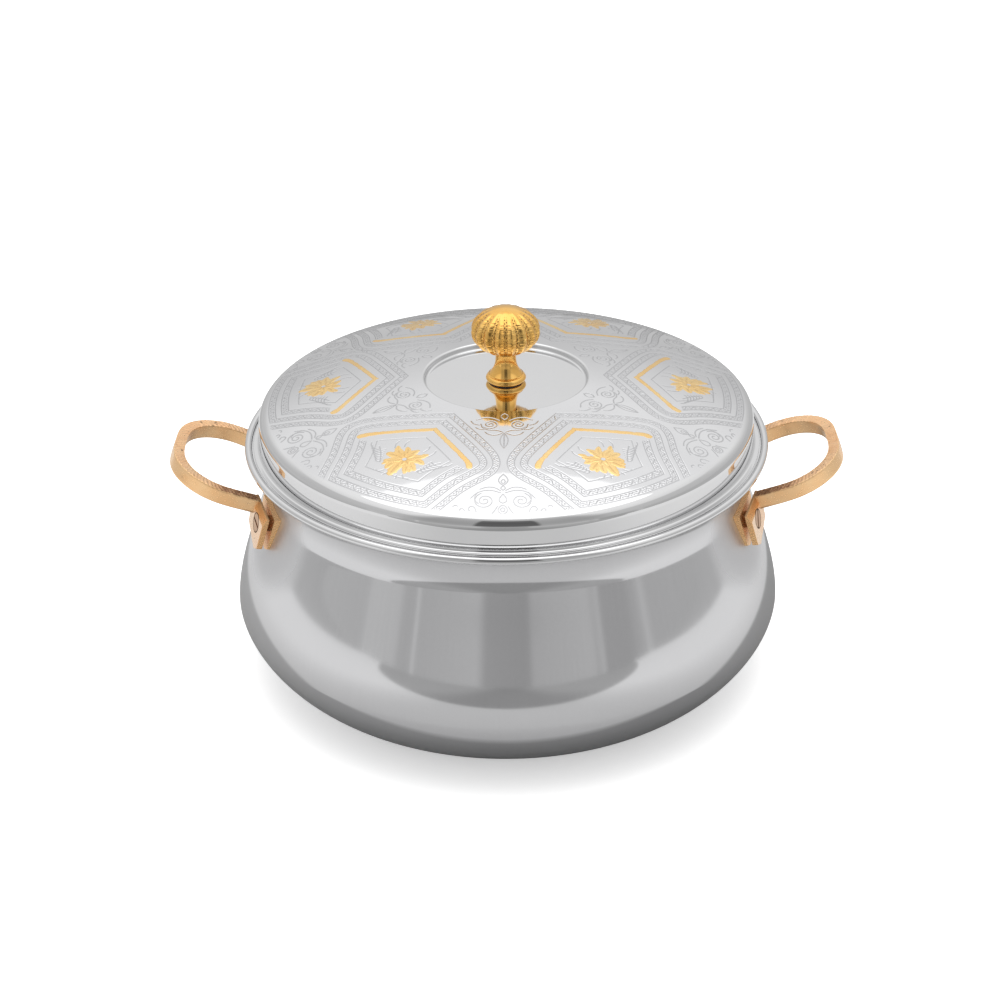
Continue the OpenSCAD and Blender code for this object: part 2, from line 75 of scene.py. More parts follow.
class Nodes:
    """Short way to write a node tree."""

    def __init__(self, tree):
        self.tree = tree
        tree.nodes.clear()

    def add(self, kind, inputs=(), **props):
        n = self.tree.nodes.new(kind)
        for k, v in props.items():
            setattr(n, k, v)
        for k, v in dict(inputs).items():
            if isinstance(v, bpy.types.NodeSocket):
                self.tree.links.new(v, n.inputs[k])
            else:
                n.inputs[k].default_value = v
        return n

    def math(self, op, a, b=0.0, clamp=False):
        return self.add("ShaderNodeMath", {0: a, 1: b}, operation=op, use_clamp=clamp).outputs[0]

    def plus(self, a, b, clamp=False):
        return self.math("ADD", a, b, clamp)

    def minus(self, a, b):
        return self.math("SUBTRACT", a, b)

    def times(self, a, b, clamp=False):
        return self.math("MULTIPLY", a, b, clamp)

    def length(self, first, *rest):
        """Length of the vector with these parts."""
        total = self.times(first, first)
        for part in rest:
            total = self.plus(total, self.times(part, part))
        return self.math("SQRT", total)

    def ramp(self, fac, stops):
        """Greys over fac, from (position, value) stops."""
        n = self.add("ShaderNodeValToRGB", {"Fac": fac})
        el = n.color_ramp.elements
        while len(el) < len(stops):
            el.new(0.5)
        for e, (position, value) in zip(el, stops):
            e.position = position
            e.color = (value, value, value, 1.0)
        return n.outputs["Color"]

    def range(self, x, a, b, c=0.0, d=1.0, smooth=False):
        """x from a..b to c..d, held at both ends."""
        return self.add("ShaderNodeMapRange",
                        {"Value": x, "From Min": a, "From Max": b, "To Min": c, "To Max": d},
                        interpolation_type="SMOOTHSTEP" if smooth else "LINEAR").outputs["Result"]

    def mix(self, fac, a, b):
        def rgba(v):
            if isinstance(v, bpy.types.NodeSocket):
                return v
            return (*v, 1.0) if isinstance(v, tuple) else (v, v, v, 1.0)

        return self.add("ShaderNodeMix", {0: fac, 6: rgba(a), 7: rgba(b)}, data_type="RGBA").outputs[2]

    def place(self):
        return self.add("ShaderNodeTexCoord").outputs["Object"]

    def xyz(self):
        return self.add("ShaderNodeSeparateXYZ", {0: self.place()}).outputs[:3]

    def noise(self, vector, scale, detail=2.0, roughness=0.5):
        return self.add("ShaderNodeTexNoise", {"Vector": vector, "Scale": scale, "Detail": detail,
                                               "Roughness": roughness}).outputs["Fac"]

    def vary(self, noise, low, high):
        """The common part of a noise's values, spread over low..high."""
        return self.range(noise, 0.3, 0.7, low, high)

    def attribute(self, name):
        return self.add("ShaderNodeAttribute", attribute_name=name).outputs["Fac"]

    def output(self, shader, of="Material"):
        self.add("ShaderNodeOutput" + of, {"Surface": shader.outputs[0]})

    def finish(self, inputs, height=None, distance=MM):
        if height is not None:
            inputs["Normal"] = self.add("ShaderNodeBump", {"Height": height, "Distance": distance}).outputs[0]
        self.output(self.add("ShaderNodeBsdfPrincipled", inputs))


def material(name):
    m = bpy.data.materials.new(name)
    m.use_nodes = True
    return m, Nodes(m.node_tree)


def stage_mesh(name, verts, faces, mat):
    mesh = bpy.data.meshes.new(name)
    mesh.from_pydata(verts, [], faces)
    mesh.materials.append(mat)
    o = add_object(name, mesh)
    return o


def add_world():
    world = bpy.data.worlds.new("studio")
    bpy.context.scene.world = world
    world.use_nodes = True
    t = Nodes(world.node_tree)
    path = t.add("ShaderNodeLightPath")
    seen = t.math("MAXIMUM", t.math("MAXIMUM", path.outputs["Is Camera Ray"], path.outputs["Is Glossy Ray"]),
                  path.outputs["Is Transmission Ray"])
    strength = t.range(seen, 0.0, 1.0, 0.80, 1.0)
    t.output(t.add("ShaderNodeBackground", {"Color": WHITE, "Strength": strength}), of="World")


def add_floor():
    """Pale table: white to the camera apart from the shadow it keeps. Seen in the metal, its colour carries
    painted shade: darker along its middle, beyond its front and back-side edges and round the pot's foot.
    """
    m, t = material("floor")
    path = t.add("ShaderNodeLightPath")
    side, y, _ = t.xyz()
    x = t.math("ABSOLUTE", side)
    front_edge = t.plus(y, t.times(t.math("POWER", x, 1.5), 0.45))
    side_edge = t.plus(x, t.times(y, 1.07))
    # Seen in the metal only: darker along the middle as painted shade, and darker beyond the front edge and the
    # slanting back-side edges.
    colour = t.times(t.range(x, 0.10, 0.42, 0.74, 1.0, smooth=True),
                     t.range(front_edge, -0.400, -0.380, 0.52, 1.0))
    colour = t.times(colour, t.range(side_edge, 0.84, 0.88, 1.0, 0.60))
    # Painted shadow: seen in the metal, an oval round the pot's foot is darker, more so on the right.
    painted_shadow_oval = t.length(t.math("DIVIDE", x, 0.250), t.math("DIVIDE", t.minus(y, 0.03), 0.170))
    colour = t.times(colour, t.range(painted_shadow_oval, 0.97, 1.03, t.range(side, -0.1, 0.1, 0.66, 0.52), 1.0))
    # Glossy rays see this painted colour; all other rays see a plain 0.92.
    diffuse = t.add("ShaderNodeBsdfDiffuse", {"Color": t.mix(path.outputs["Is Glossy Ray"], 0.92, colour)})
    glow = t.times(path.outputs["Is Camera Ray"],
                   t.range(t.length(x, y), 0.115, 0.165, 0.42, 0.85, smooth=True))
    glow = t.add("ShaderNodeEmission", {"Color": WHITE, "Strength": glow})
    t.output(t.add("ShaderNodeAddShader", {0: diffuse.outputs[0], 1: glow.outputs[0]}))
    s = FLOOR_HALF
    stage_mesh("floor", [(-s, -s, 0), (s, -s, 0), (s, s, 0), (-s, s, 0)], [(0, 1, 2, 3)], m)


def add_studio_wall():
    """Dome of the studio round the table: the metal shows it, the camera doesn't."""
    m, t = material("studio_wall")
    x, y, z = t.xyz()
    degrees = 180 / math.pi
    azimuth = t.times(t.math("ARCTAN2", x, t.times(y, -1.0)), degrees)
    height = t.times(t.math("ARCTAN2", z, t.length(x, y)), degrees)
    up = t.range(height, 0.0, 90.0)
    low = t.ramp(t.range(azimuth, -180.0, 180.0), [
        ((az + 180) / 360, v) for az, v in (
            (-180, 0.62), (-100, 0.60), (-62, 0.54), (-59, 0.62), (-46, 0.60), (-44, 0.50), (-39, 0.50),
            (-38, 0.68), (-37, 0.51), (-12, 0.57), (-9, 0.41), (8, 0.38), (10, 0.50), (34, 0.56), (36, 0.45),
            (37.5, 0.64), (39, 0.42), (50, 0.42), (57, 0.52), (58, 0.64), (60, 0.50), (100, 0.52),
            (180, 0.62))])
    sides = t.ramp(up, [(0.12, 0.58), (0.38, 0.62), (0.44, 0.86), (0.6, 0.97), (1.0, 1.0)])
    back = t.ramp(up, [(0.12, 0.62), (0.2, 0.66), (0.37, 0.92), (0.48, 0.90), (0.56, 0.98), (1.0, 1.0)])
    front = t.ramp(up, [(0.12, 0.45), (0.30, 0.40), (0.44, 0.42), (0.60, 0.48), (0.74, 0.68), (0.86, 0.98)])
    camera = t.ramp(up, [(0.12, 0.38), (0.16, 0.14), (0.44, 0.12), (0.58, 0.17), (0.62, 0.48), (0.74, 0.68),
                         (0.86, 0.98)])
    turn = t.math("ABSOLUTE", azimuth)
    colour = t.mix(t.range(turn, 100.0, 140.0), sides, back)
    colour = t.mix(t.range(turn, 34.0, 52.0, smooth=True), front, colour)
    colour = t.mix(t.range(turn, 13.0, 15.0), camera, colour)
    colour = t.mix(t.range(height, 9.0, 14.0), low, colour)
    t.output(t.add("ShaderNodeEmission", {"Color": colour}))
    segs, rows = 96, 24
    turns = 2 * math.pi * np.arange(segs) / segs
    rings = [(DOME_R * math.cos(a), DOME_R * math.sin(a)) for a in np.linspace(0.0, math.radians(88), rows)]
    o = stage_mesh("studio_wall", [(r * math.cos(a), r * math.sin(a), h) for r, h in rings for a in turns],
                   [(k * segs + i, k * segs + j, (k + 1) * segs + j, (k + 1) * segs + i)
                    for k in range(rows - 1) for i, j in zip(range(segs), [*range(1, segs), 0])], m)
    o.visible_camera = o.visible_diffuse = o.visible_shadow = o.visible_transmission = False


def add_lamp():
    data = bpy.data.lights.new("top_light", "AREA")
    data.shape, data.size, data.energy = "DISK", LAMP_SIZE, LAMP_WATTS
    o = add_object("top_light", data)
    o.location = LAMP_AT
    o.rotation_euler = (Vector(LAMP_TARGET) - Vector(LAMP_AT)).to_track_quat("-Z", "Y").to_euler()


def add_studio():
    add_world()
    add_floor()
    add_studio_wall()
    add_lamp()
    bpy.context.scene.view_settings.view_transform = "Standard"


# ------ materials

PLATE_AT = (0.116, 0.044, 0.100)    # a mount plate's place on the wall, without its signs
DULL_FROM, DULL_TO = 0.020, 0.042   # how far round a plate the wall is dull


def steel(name, colour, rough, streak, speck, drawn=False, dull=0.0):
    """Steel sheet with faint clouds, turned or drawn streaks and fine wear.

    dull is the roughness beside the mount plates, where a polishing wheel doesn't reach."""
    m, t = material(name)
    x, y, z = t.xyz()
    cloud = t.noise(t.place(), 22.0, 3.0)
    grain = t.noise(t.place(), 900.0, 3.0, 0.6)
    if drawn:
        across, along = t.times(t.math("ARCTAN2", x, y), 0.13), t.times(z, 0.02)
    else:
        across, along = t.length(x, y), z
    lines = t.noise(t.add("ShaderNodeCombineXYZ", {0: across, 1: along}).outputs[0], 700.0, 3.0, 0.6)
    shade = t.plus(t.vary(cloud, -0.02, 0.02), t.vary(lines, -streak, streak))
    shade = t.plus(shade, t.vary(grain, -speck, speck))
    base = t.mix(t.plus(shade, 0.5, clamp=True), tuple(c * 0.72 for c in colour),
                 tuple(min(1.0, c * 1.28) for c in colour))
    roughness = t.plus(t.vary(cloud, rough * 0.85, rough * 1.15),
                       t.vary(lines, -rough * 0.15, rough * 0.15))
    if dull:
        away = t.length(t.minus(t.math("ABSOLUTE", x), PLATE_AT[0]),
                        t.minus(t.math("ABSOLUTE", y), PLATE_AT[1]), t.minus(z, PLATE_AT[2]))
        roughness = t.range(away, DULL_FROM, DULL_TO, dull, roughness, smooth=True)
    t.finish({"Base Color": base, "Metallic": 1.0, "Roughness": roughness}, t.times(lines, streak * 0.02))
    return m


def engraved_steel():
    """Mirror sheet whose cut lines are rougher and darker; "cut" comes with the mesh."""
    m, t = material("engraved_steel")
    cut = t.attribute("cut")
    cloud = t.noise(t.place(), 26.0, 3.0)
    fine = t.noise(t.place(), 1500.0, 3.0, 0.7)
    colour = t.mix(t.range(cloud, 0.3, 0.7), (0.80, 0.80, 0.81), (0.76, 0.76, 0.77))
    colour = t.mix(t.times(cut, t.vary(fine, 0.55, 1.0)), colour, (0.30, 0.30, 0.31))
    rough = t.plus(t.vary(cloud, 0.05, 0.08), t.times(cut, 0.30))
    t.finish({"Base Color": colour, "Metallic": 1.0, "Roughness": rough})
    return m


def brass(name, colour, deep, dark_tone, rough, grain_bump, pit=0.0, metal=1.0):
    """Brass with cloudy colour, a darker tone mixed in by a value on the mesh's points, and fine pits."""
    m, t = material(name)
    cloud = t.noise(t.place(), 60.0, 4.0, 0.6)
    fine = t.noise(t.place(), 1100.0, 4.0, 0.65)
    spots = t.range(t.noise(t.place(), 420.0, 2.0), 0.68, 0.74)
    darker_amount = t.times(t.attribute("dark_tone"), t.vary(fine, 0.6, 1.15), clamp=True)
    base = t.mix(darker_amount, t.mix(t.range(cloud, 0.35, 0.65), colour, deep), dark_tone)
    base = t.mix(t.times(spots, pit), base, (0.12, 0.07, 0.04))
    roughness = t.plus(t.vary(fine, rough * 0.8, rough * 1.2), t.times(darker_amount, 0.22))
    height = t.minus(t.times(fine, grain_bump), t.times(spots, pit * 0.05))
    t.finish({"Base Color": base, "Metallic": metal, "Roughness": roughness}, height)
    return m


def plain_material(name, colour, dark, roughness, scale, bump):
    m, t = material(name)
    n = t.noise(t.place(), scale, 5.0)
    t.finish({"Base Color": t.mix(t.range(n, 0.35, 0.65), colour, dark), "Roughness": roughness}, n, bump * MM)
    return m


SATIN = steel("satin_steel", (0.70, 0.70, 0.71), 0.085, streak=0.012, speck=0.02, drawn=True, dull=0.5)
MIRROR = steel("mirror_steel", (0.78, 0.78, 0.79), 0.05, streak=0.004, speck=0.01)
PLAIN = steel("plain_steel", (0.58, 0.58, 0.60), 0.28, streak=0.06, speck=0.05)
ENGRAVED = engraved_steel()
BRASS = brass("cast_brass", (1.0, 0.69, 0.38), (1.0, 0.60, 0.29), (0.26, 0.12, 0.05), 0.24, 0.02,
              pit=0.35, metal=0.65)
TOP_BRASS = brass("hammered_brass", (1.0, 0.68, 0.40), (0.92, 0.54, 0.28), (0.26, 0.11, 0.05), 0.30, 0.03,
                  pit=0.9, metal=0.62)
# Painted light: a paler copy of the lug brass for the lug's flat outer face.
LIT_FACE_BRASS = brass("lug_face_lit_brass", (1.0, 0.76, 0.55), (1.0, 0.67, 0.43), (0.50, 0.26, 0.10), 0.28, 0.02,
                   pit=0.3, metal=0.68)
EDGE_BRASS = brass("edge_brass", (1.0, 0.62, 0.30), (0.95, 0.52, 0.22), (0.24, 0.11, 0.04), 0.26, 0.02,
                   pit=0.35, metal=0.7)
# Painted shade: a dark brown for the countersinks and screw holes of the lugs.
SINK_SHADE_BRASS = brass("countersink_painted_shade", (0.22, 0.13, 0.08), (0.16, 0.09, 0.05), (0.08, 0.05, 0.03), 0.5, 0.02)
# Tarnish and painted shade: dark brown for the handle sleeves in the narrow gap between lug and mount plate.
TARNISHED_AND_SHADED = brass("tarnished_and_shaded_brass", (0.34, 0.19, 0.10), (0.24, 0.12, 0.06), (0.10, 0.05, 0.03), 0.42, 0.02)
SCREW = brass("screw_brass", (0.72, 0.48, 0.30), (0.58, 0.36, 0.22), (0.16, 0.08, 0.05), 0.34, 0.02)
GOLD = brass("polished_brass", (1.0, 0.62, 0.19), (0.96, 0.50, 0.11), (0.12, 0.05, 0.02), 0.11, 0.004)
INLAY = brass("inlay_gold", (1.0, 0.74, 0.36), (0.97, 0.64, 0.26), (0.50, 0.30, 0.12), 0.20, 0.01)
FOAM = plain_material("foam", (0.80, 0.72, 0.48), (0.68, 0.60, 0.38), 0.9, 400.0, 0.3)
RUBBER = plain_material("gasket_rubber", (0.02, 0.02, 0.02), (0.035, 0.035, 0.035), 0.6, 900.0, 0.05)

BY_SLOT = {"satin_steel": SATIN, "polished_steel": MIRROR, "plain_steel": PLAIN, "cast_brass": BRASS,
           "screw_brass": SCREW, "polished_brass": GOLD, "foam": FOAM, "gasket": RUBBER}


def dress_frame():
    """Gives every CAD node its material; the mount plates get edges rounded off by wear too, and the handle
    sleeves a dark brown of tarnish and painted shade.
    """
    slots = {s["node"]: s["material_slot"] for s in frame["record"]["subparts"]}
    for name, obj in frame["nodes"].items():
        plate = name.endswith("mount_plate")
        m = EDGE_BRASS if plate else TARNISHED_AND_SHADED if name == "handle_sleeves" else BY_SLOT[slots[name]]
        if not obj.data.materials:
            obj.data.materials.append(m)
        for slot in obj.material_slots:
            slot.material = m
        if plate:
            soft = obj.modifiers.new("worn_edges", "BEVEL")
            soft.width, soft.segments = 0.35 * MM, 2
            soft.limit_method, soft.angle_limit = "ANGLE", math.radians(50)


# ------ sizes, in millimetres, as in the CAD source

BELLY_R, BELLY_Z, BELLY_POW, FOOT_R, FOOT_W, FOOT_H = 137.48, 41.5, 1.25, 92.0, 6.0, 2.5
RIM_R, CURL_R, CURL_LIFT, LEDGE_Z, MOUTH_ROUND = 130.0, 1.9, 0.4, 125.0, 2.0
NECK_R, NECK_Z, NECK_TILT = RIM_R - 9.6, 101.4, math.radians(18.9)
MOUTH_R = RIM_R - 18.0
BOWL_Z, BOWL_ROUND, BOWL_TAPER = 18.0, 30.0, 4.0
SHELL_T, LINER_T = 0.8, 0.7
FLANGE_R = RIM_R - 2 * CURL_R - 0.6
WALL_R = FLANGE_R - 3.1
FLANGE_TOP = LEDGE_Z + LINER_T + SHELL_T
HEM_R, FILLET_R, SHOULDER_R = 0.25, 1.5, 6.5
SHOULDER_C = (WALL_R - SHOULDER_R, LEDGE_Z + 12.6)
WELL_R, WELL_D, LIP_R, BORE_R = 40.0, 3.0, 1.2, 2.7
DOME_IN = WELL_R + LIP_R
DOME_RISE, DOME_CONE, DOME_POW = 14.44, 0.5, 2.6
SHOULDER_TILT = math.atan((DOME_CONE + (1 - DOME_CONE) * DOME_POW) * DOME_RISE / (SHOULDER_C[0] - DOME_IN))
DOME_OUT = (SHOULDER_C[0] + SHOULDER_R * math.sin(SHOULDER_TILT),
            SHOULDER_C[1] + SHOULDER_R * math.cos(SHOULDER_TILT))
DOME_TOP = DOME_OUT[1] + DOME_RISE
WELL_Z = DOME_TOP - WELL_D
GASKET_T, STEM_H, WAIST_R = 0.4, 15.2, 5.0
HEAD_R, HEAD_H, LOBES = 17.0, 12.0, 16
SEAT = math.asin((WAIST_R + 0.4) / HEAD_R)
HEAD_Z = WELL_Z + GASKET_T + STEM_H + HEAD_H * math.cos(SEAT)


def dome_z(r):
    u = np.clip((np.asarray(r, float) - DOME_IN) / (DOME_OUT[0] - DOME_IN), 0.0, 1.0)
    return DOME_TOP - DOME_RISE * (DOME_CONE * u + (1 - DOME_CONE) * u ** DOME_POW)


def arc(c, r, a0, a1, n):
    a = np.radians(np.linspace(a0, a1, n + 1))
    return np.stack([c[0] + r * np.cos(a), c[1] + r * np.sin(a)], 1)


def cubic(p0, p1, p2, p3, n):
    """Points of a Bezier curve, without its first."""
    t = (np.arange(1, n + 1) / n)[:, None]
    p0, p1, p2, p3 = (np.asarray(p, float) for p in (p0, p1, p2, p3))
    return (1 - t) ** 3 * p0 + 3 * (1 - t) ** 2 * t * p1 + 3 * (1 - t) * t * t * p2 + t ** 3 * p3


def shifted(path, d):
    """Path moved sideways to its left by d."""
    e = np.diff(path, axis=0)
    n = np.stack([-e[:, 1], e[:, 0]], 1) / np.linalg.norm(e, axis=1)[:, None]
    n1, n2 = np.concatenate([n[:1], n]), np.concatenate([n, n[-1:]])
    return path + (n1 + n2) * (d / (1 + (n1 * n2).sum(1)))[:, None]


def resampled(p, step=0.22):
    """Points at even steps along a line."""
    d = np.concatenate([[0], np.cumsum(np.linalg.norm(np.diff(p, axis=0), axis=1))])
    k = np.linspace(0, d[-1], max(2, int(d[-1] / step) + 1))
    return np.stack([np.interp(k, d, p[:, 0]), np.interp(k, d, p[:, 1])], 1)


def smooth_curve(points, step=0.8):
    """Points along a curve that rounds the corners of the given line, by cutting them twice."""
    p = np.asarray(points, float)
    for _ in range(2):
        cuts = np.stack([0.75 * p[:-1] + 0.25 * p[1:], 0.25 * p[:-1] + 0.75 * p[1:]], 1).reshape(-1, 2)
        p = np.concatenate([p[:1], cuts, p[-1:]])
    return resampled(p, step)


def groove(d, width):
    """Depth, from 0 to 1, of a soft cut at distance d from its middle."""
    return np.exp(-(d / width) ** 2)


# ------ mesh helpers

def add_mesh(name, verts, faces, mat, body, normals=None, values=None):
    """verts in millimetres; values are per-vertex numbers that the material reads."""
    me = bpy.data.meshes.new(name)
    me.from_pydata((verts * MM).tolist(), [], faces if isinstance(faces, list) else faces.tolist())
    me.polygons.foreach_set("use_smooth", np.ones(len(me.polygons), bool))
    me.materials.append(mat)
    for key, v in (values or {}).items():
        me.attributes.new(key, "FLOAT", "POINT").data.foreach_set("value", np.asarray(v, np.float32).ravel())
    me.update()
    if normals is not None:
        me.normals_split_custom_set_from_vertices(normals.reshape(-1, 3).tolist())
    o = add_object(name, me)
    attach(o, body)
    return o


def stands_for(node):
    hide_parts(node)


def grid_faces(rows, cols, wrap=True, start=0):
    i, j = np.meshgrid(np.arange(rows - 1), np.arange(cols if wrap else cols - 1), indexing="ij")
    k = (j + 1) % cols
    corners = [i * cols + j, i * cols + k, (i + 1) * cols + k, (i + 1) * cols + j]
    return start + np.stack(corners, -1).reshape(-1, 4)


def path_normals(path, flip=False):
    """Outward normals of a profile, to the right of its direction."""
    e = np.gradient(path, axis=0)
    n = np.stack([e[:, 1], -e[:, 0]], 1) / np.linalg.norm(e, axis=1)[:, None]
    return -n if flip else n


def strips(path, split=24.0, closed=False):
    """Cuts a profile at corners sharper than split degrees."""
    if closed:
        path = np.concatenate([path, path[:1]])
    e = np.diff(path, axis=0)
    turn = np.degrees(np.abs((np.diff(np.arctan2(e[:, 1], e[:, 0])) + np.pi) % (2 * np.pi) - np.pi))
    cuts = [0] + [i + 1 for i in np.nonzero(turn > split)[0]] + [len(path) - 1]
    return [path[a:b + 1] for a, b in zip(cuts, cuts[1:])]


def spun(profile, a):
    """Profile's points or normals (r, z) turned round the axis by the angles a: rows of (x, y, z)."""
    r, z = profile[:, :1], profile[:, 1:]
    return np.stack([r * np.cos(a), r * np.sin(a), z + 0 * a], -1)


def lathe(name, parts, segs, mat, body, flip=False, normals=None):
    """Turned piece from smooth profile strips [(r, z), ...]."""
    a = 2 * np.pi * np.arange(segs) / segs
    normals = normals or [path_normals(p, flip) for p in parts]
    faces, base = [], 0
    for p in parts:
        f = grid_faces(len(p), segs, start=base)
        faces.append(f[:, ::-1] if flip else f)
        base += len(p) * segs
    return add_mesh(name, spun(np.concatenate(parts), a).reshape(-1, 3), np.concatenate(faces), mat, body,
                    spun(np.concatenate(normals), a))


# ------ the pot

def wall_path():
    """Outer profile of the wall, from inside the foot ring to under the rim."""
    foot_in = FOOT_R - FOOT_W
    foot = [[foot_in - 10.0, FOOT_H], [foot_in - 3.0, FOOT_H], [foot_in, 0.0], [FOOT_R, 0.0]]
    a = np.radians(90 - 90 * np.arange(1, 61) / 60)
    turn = np.stack([FOOT_R + (BELLY_R - FOOT_R) * np.cos(a) ** BELLY_POW,
                     BELLY_Z * (1 - np.clip(np.sin(a), 0, 1) ** BELLY_POW)], 1)
    way = np.array([-math.sin(NECK_TILT), math.cos(NECK_TILT)])
    neck, belly = np.array([NECK_R, NECK_Z]), np.array([BELLY_R, BELLY_Z])
    seam_z = LEDGE_Z - LINER_T - SHELL_T
    flare = np.array([NECK_R + 4.9, seam_z])
    side = cubic(belly, belly + [0, 15.4], neck - 21.9 * way, neck, 70)
    top = cubic(neck, neck + 11.2 * way, flare - [5.6, 0], flare, 40)
    return np.concatenate([foot, turn, side, top, [[RIM_R - CURL_R, seam_z]]])


def make_pot():
    outer = wall_path()
    inner = shifted(outer, SHELL_T)[::-1]
    o = lathe("pot_wall", strips(np.concatenate([outer, inner]), closed=True), 360, SATIN, "pot")
    stands_for("outer_shell")

    lean = math.degrees(math.atan(BOWL_TAPER / (LEDGE_Z - MOUTH_ROUND - BOWL_Z - BOWL_ROUND)))
    foot = MOUTH_R - BOWL_TAPER
    bowl = np.concatenate([
        [[0.02, BOWL_Z], [foot - BOWL_ROUND - 8.0, BOWL_Z]],
        arc((foot - BOWL_ROUND, BOWL_Z + BOWL_ROUND), BOWL_ROUND, -90, -lean, 48),
        arc((MOUTH_R + MOUTH_ROUND, LEDGE_Z - MOUTH_ROUND), MOUTH_ROUND, 180, 90, 16),
        [[RIM_R - 2 * CURL_R + LINER_T, LEDGE_Z]]])
    under = shifted(bowl, -LINER_T)[::-1]
    middle = (RIM_R - CURL_R, LEDGE_Z + CURL_LIFT)
    curl = np.concatenate([arc(middle, CURL_R, 215, -75, 60), arc(middle, CURL_R - LINER_T, -75, 215, 60)])
    o = lathe("bowl_and_rim", strips(np.concatenate([bowl, under])) + strips(curl[::-1], closed=True), 360,
              MIRROR, "pot", flip=True)
    stands_for("inner_bowl")


# ------ the lid

def lid_profile():
    """Outer profile from the flange's hem to the well's middle, and where the dome and the well start."""
    round_c = (WALL_R + FILLET_R, FLANGE_TOP + FILLET_R)
    rim = np.concatenate([
        [[FLANGE_R - HEM_R, FLANGE_TOP], [round_c[0] + 0.4, FLANGE_TOP]], arc(round_c, FILLET_R, -90, -180, 14),
        np.stack([np.full(8, WALL_R), np.linspace(round_c[1] + 0.5, SHOULDER_C[1] - 0.4, 8)], 1),
        arc(SHOULDER_C, SHOULDER_R, 0, 90 - math.degrees(SHOULDER_TILT), 60)])
    r = np.linspace(DOME_OUT[0], DOME_IN, 290)
    dome = np.stack([r, dome_z(r)], 1)[1:]
    dome[-1, 1] = DOME_TOP
    well = np.concatenate([
        arc((DOME_IN, DOME_TOP - LIP_R), LIP_R, 90, 180, 16)[1:],
        arc((WELL_R - LIP_R, WELL_Z + LIP_R), LIP_R, 0, -90, 16)[1:],
        [[WELL_R - LIP_R - 2.0, WELL_Z], [20.0, WELL_Z], [BORE_R, WELL_Z]]])
    return np.concatenate([rim, dome, well]), len(rim) - 1, len(rim) + len(dome) - 1


# The engraving: six shield-shaped medallions, drawn in a medallion's own frame.
# u runs outwards along its axis, v across it, both in millimetres from the lid's axis.
PHASE = -0.3
LEAN = (1.4, 1.2, -0.1, -1.7, -1.3, 0.0)
TURNS = [math.radians(60 * k + PHASE + LEAN[k]) for k in range(6)]
BETWEEN = [math.radians(60 * k + 30 + PHASE + 0.5 * (LEAN[k] + LEAN[(k + 1) % 6])) for k in range(6)]
HALF_SECTOR = math.radians(31.5)
SHIELD = [(48.2, 0), (55.9, 15), (62.6, 28), (66.6, 35), (69.8, 39), (73.5, 41.9), (78.5, 43.3),
          (83.5, 42.7), (87.5, 41.3), (91.5, 39.6), (95.5, 37.9), (100, 36.4), (105, 35.3), (110, 34.2),
          (115, 32.9), (122, 30.5)]
BANDS = ((0.0, 3.3), (6.1, 9.4), (12.4, 15.8))
OUTERMOST, INNERMOST = 0, 2
INNERMOST_FROM = 84.0
FINE_LINE = 21.0
TOP_EDGE = 123.3
BAND_DEPTH, EDGE_DEPTH, LINE_DEPTH, STROKE_DEPTH = 0.13, 0.11, 0.09, 0.10
EDGE_W, LINE_W, STROKE_W = 0.21, 0.24, 0.27
COLS = 2640


def outline_distance(u, v, curve):
    """Distance inside the outline and length along it, for points of one half of a medallion."""
    best = np.full(u.shape, 1e9)
    along = np.zeros(u.shape)
    side = np.ones(u.shape)
    run = 0.0
    for a, b in zip(curve, curve[1:]):
        e = b - a
        length = math.hypot(*e)
        t = np.clip(((u - a[0]) * e[0] + (v - a[1]) * e[1]) / (length * length), 0, 1)
        du, dv = u - a[0] - t * e[0], v - a[1] - t * e[1]
        d = du * du + dv * dv
        near = d < best
        best = np.where(near, d, best)
        along = np.where(near, run + t * length, along)
        side = np.where(near, np.sign(e[1] * du - e[0] * dv), side)
        run += length
    return np.sqrt(best) * side, along


def braid(t, s, width):
    """Cut lines of a scrolled band: a waving stem with a dot in every bend. t runs 0 to 1 across."""
    pitch = 4.0
    x = (t - 0.5) * width
    c = (s + 0.35 * np.sin(s * 0.9)) / pitch
    stem = groove(x - 0.25 * width * np.sin(2 * np.pi * c), 0.27)
    dots = [groove(np.hypot(x + side * 0.20 * width, ((c - at + 0.5) % 1 - 0.5) * pitch), 0.34)
            for side, at in ((1, 0.25), (-1, 0.75))]
    return np.clip(np.maximum(stem, np.maximum(*dots)), 0, 1)


def spiral(cu, cv, radius, start, turns):
    """Spiral from its outer end to its eye."""
    k = np.linspace(0, 1, 46)
    a = np.radians(start) - 2 * np.pi * turns * k
    r = radius * (1 - 0.86 * k ** 0.9)
    return np.stack([cu + r * np.cos(a), cv + r * np.sin(a)], 1)


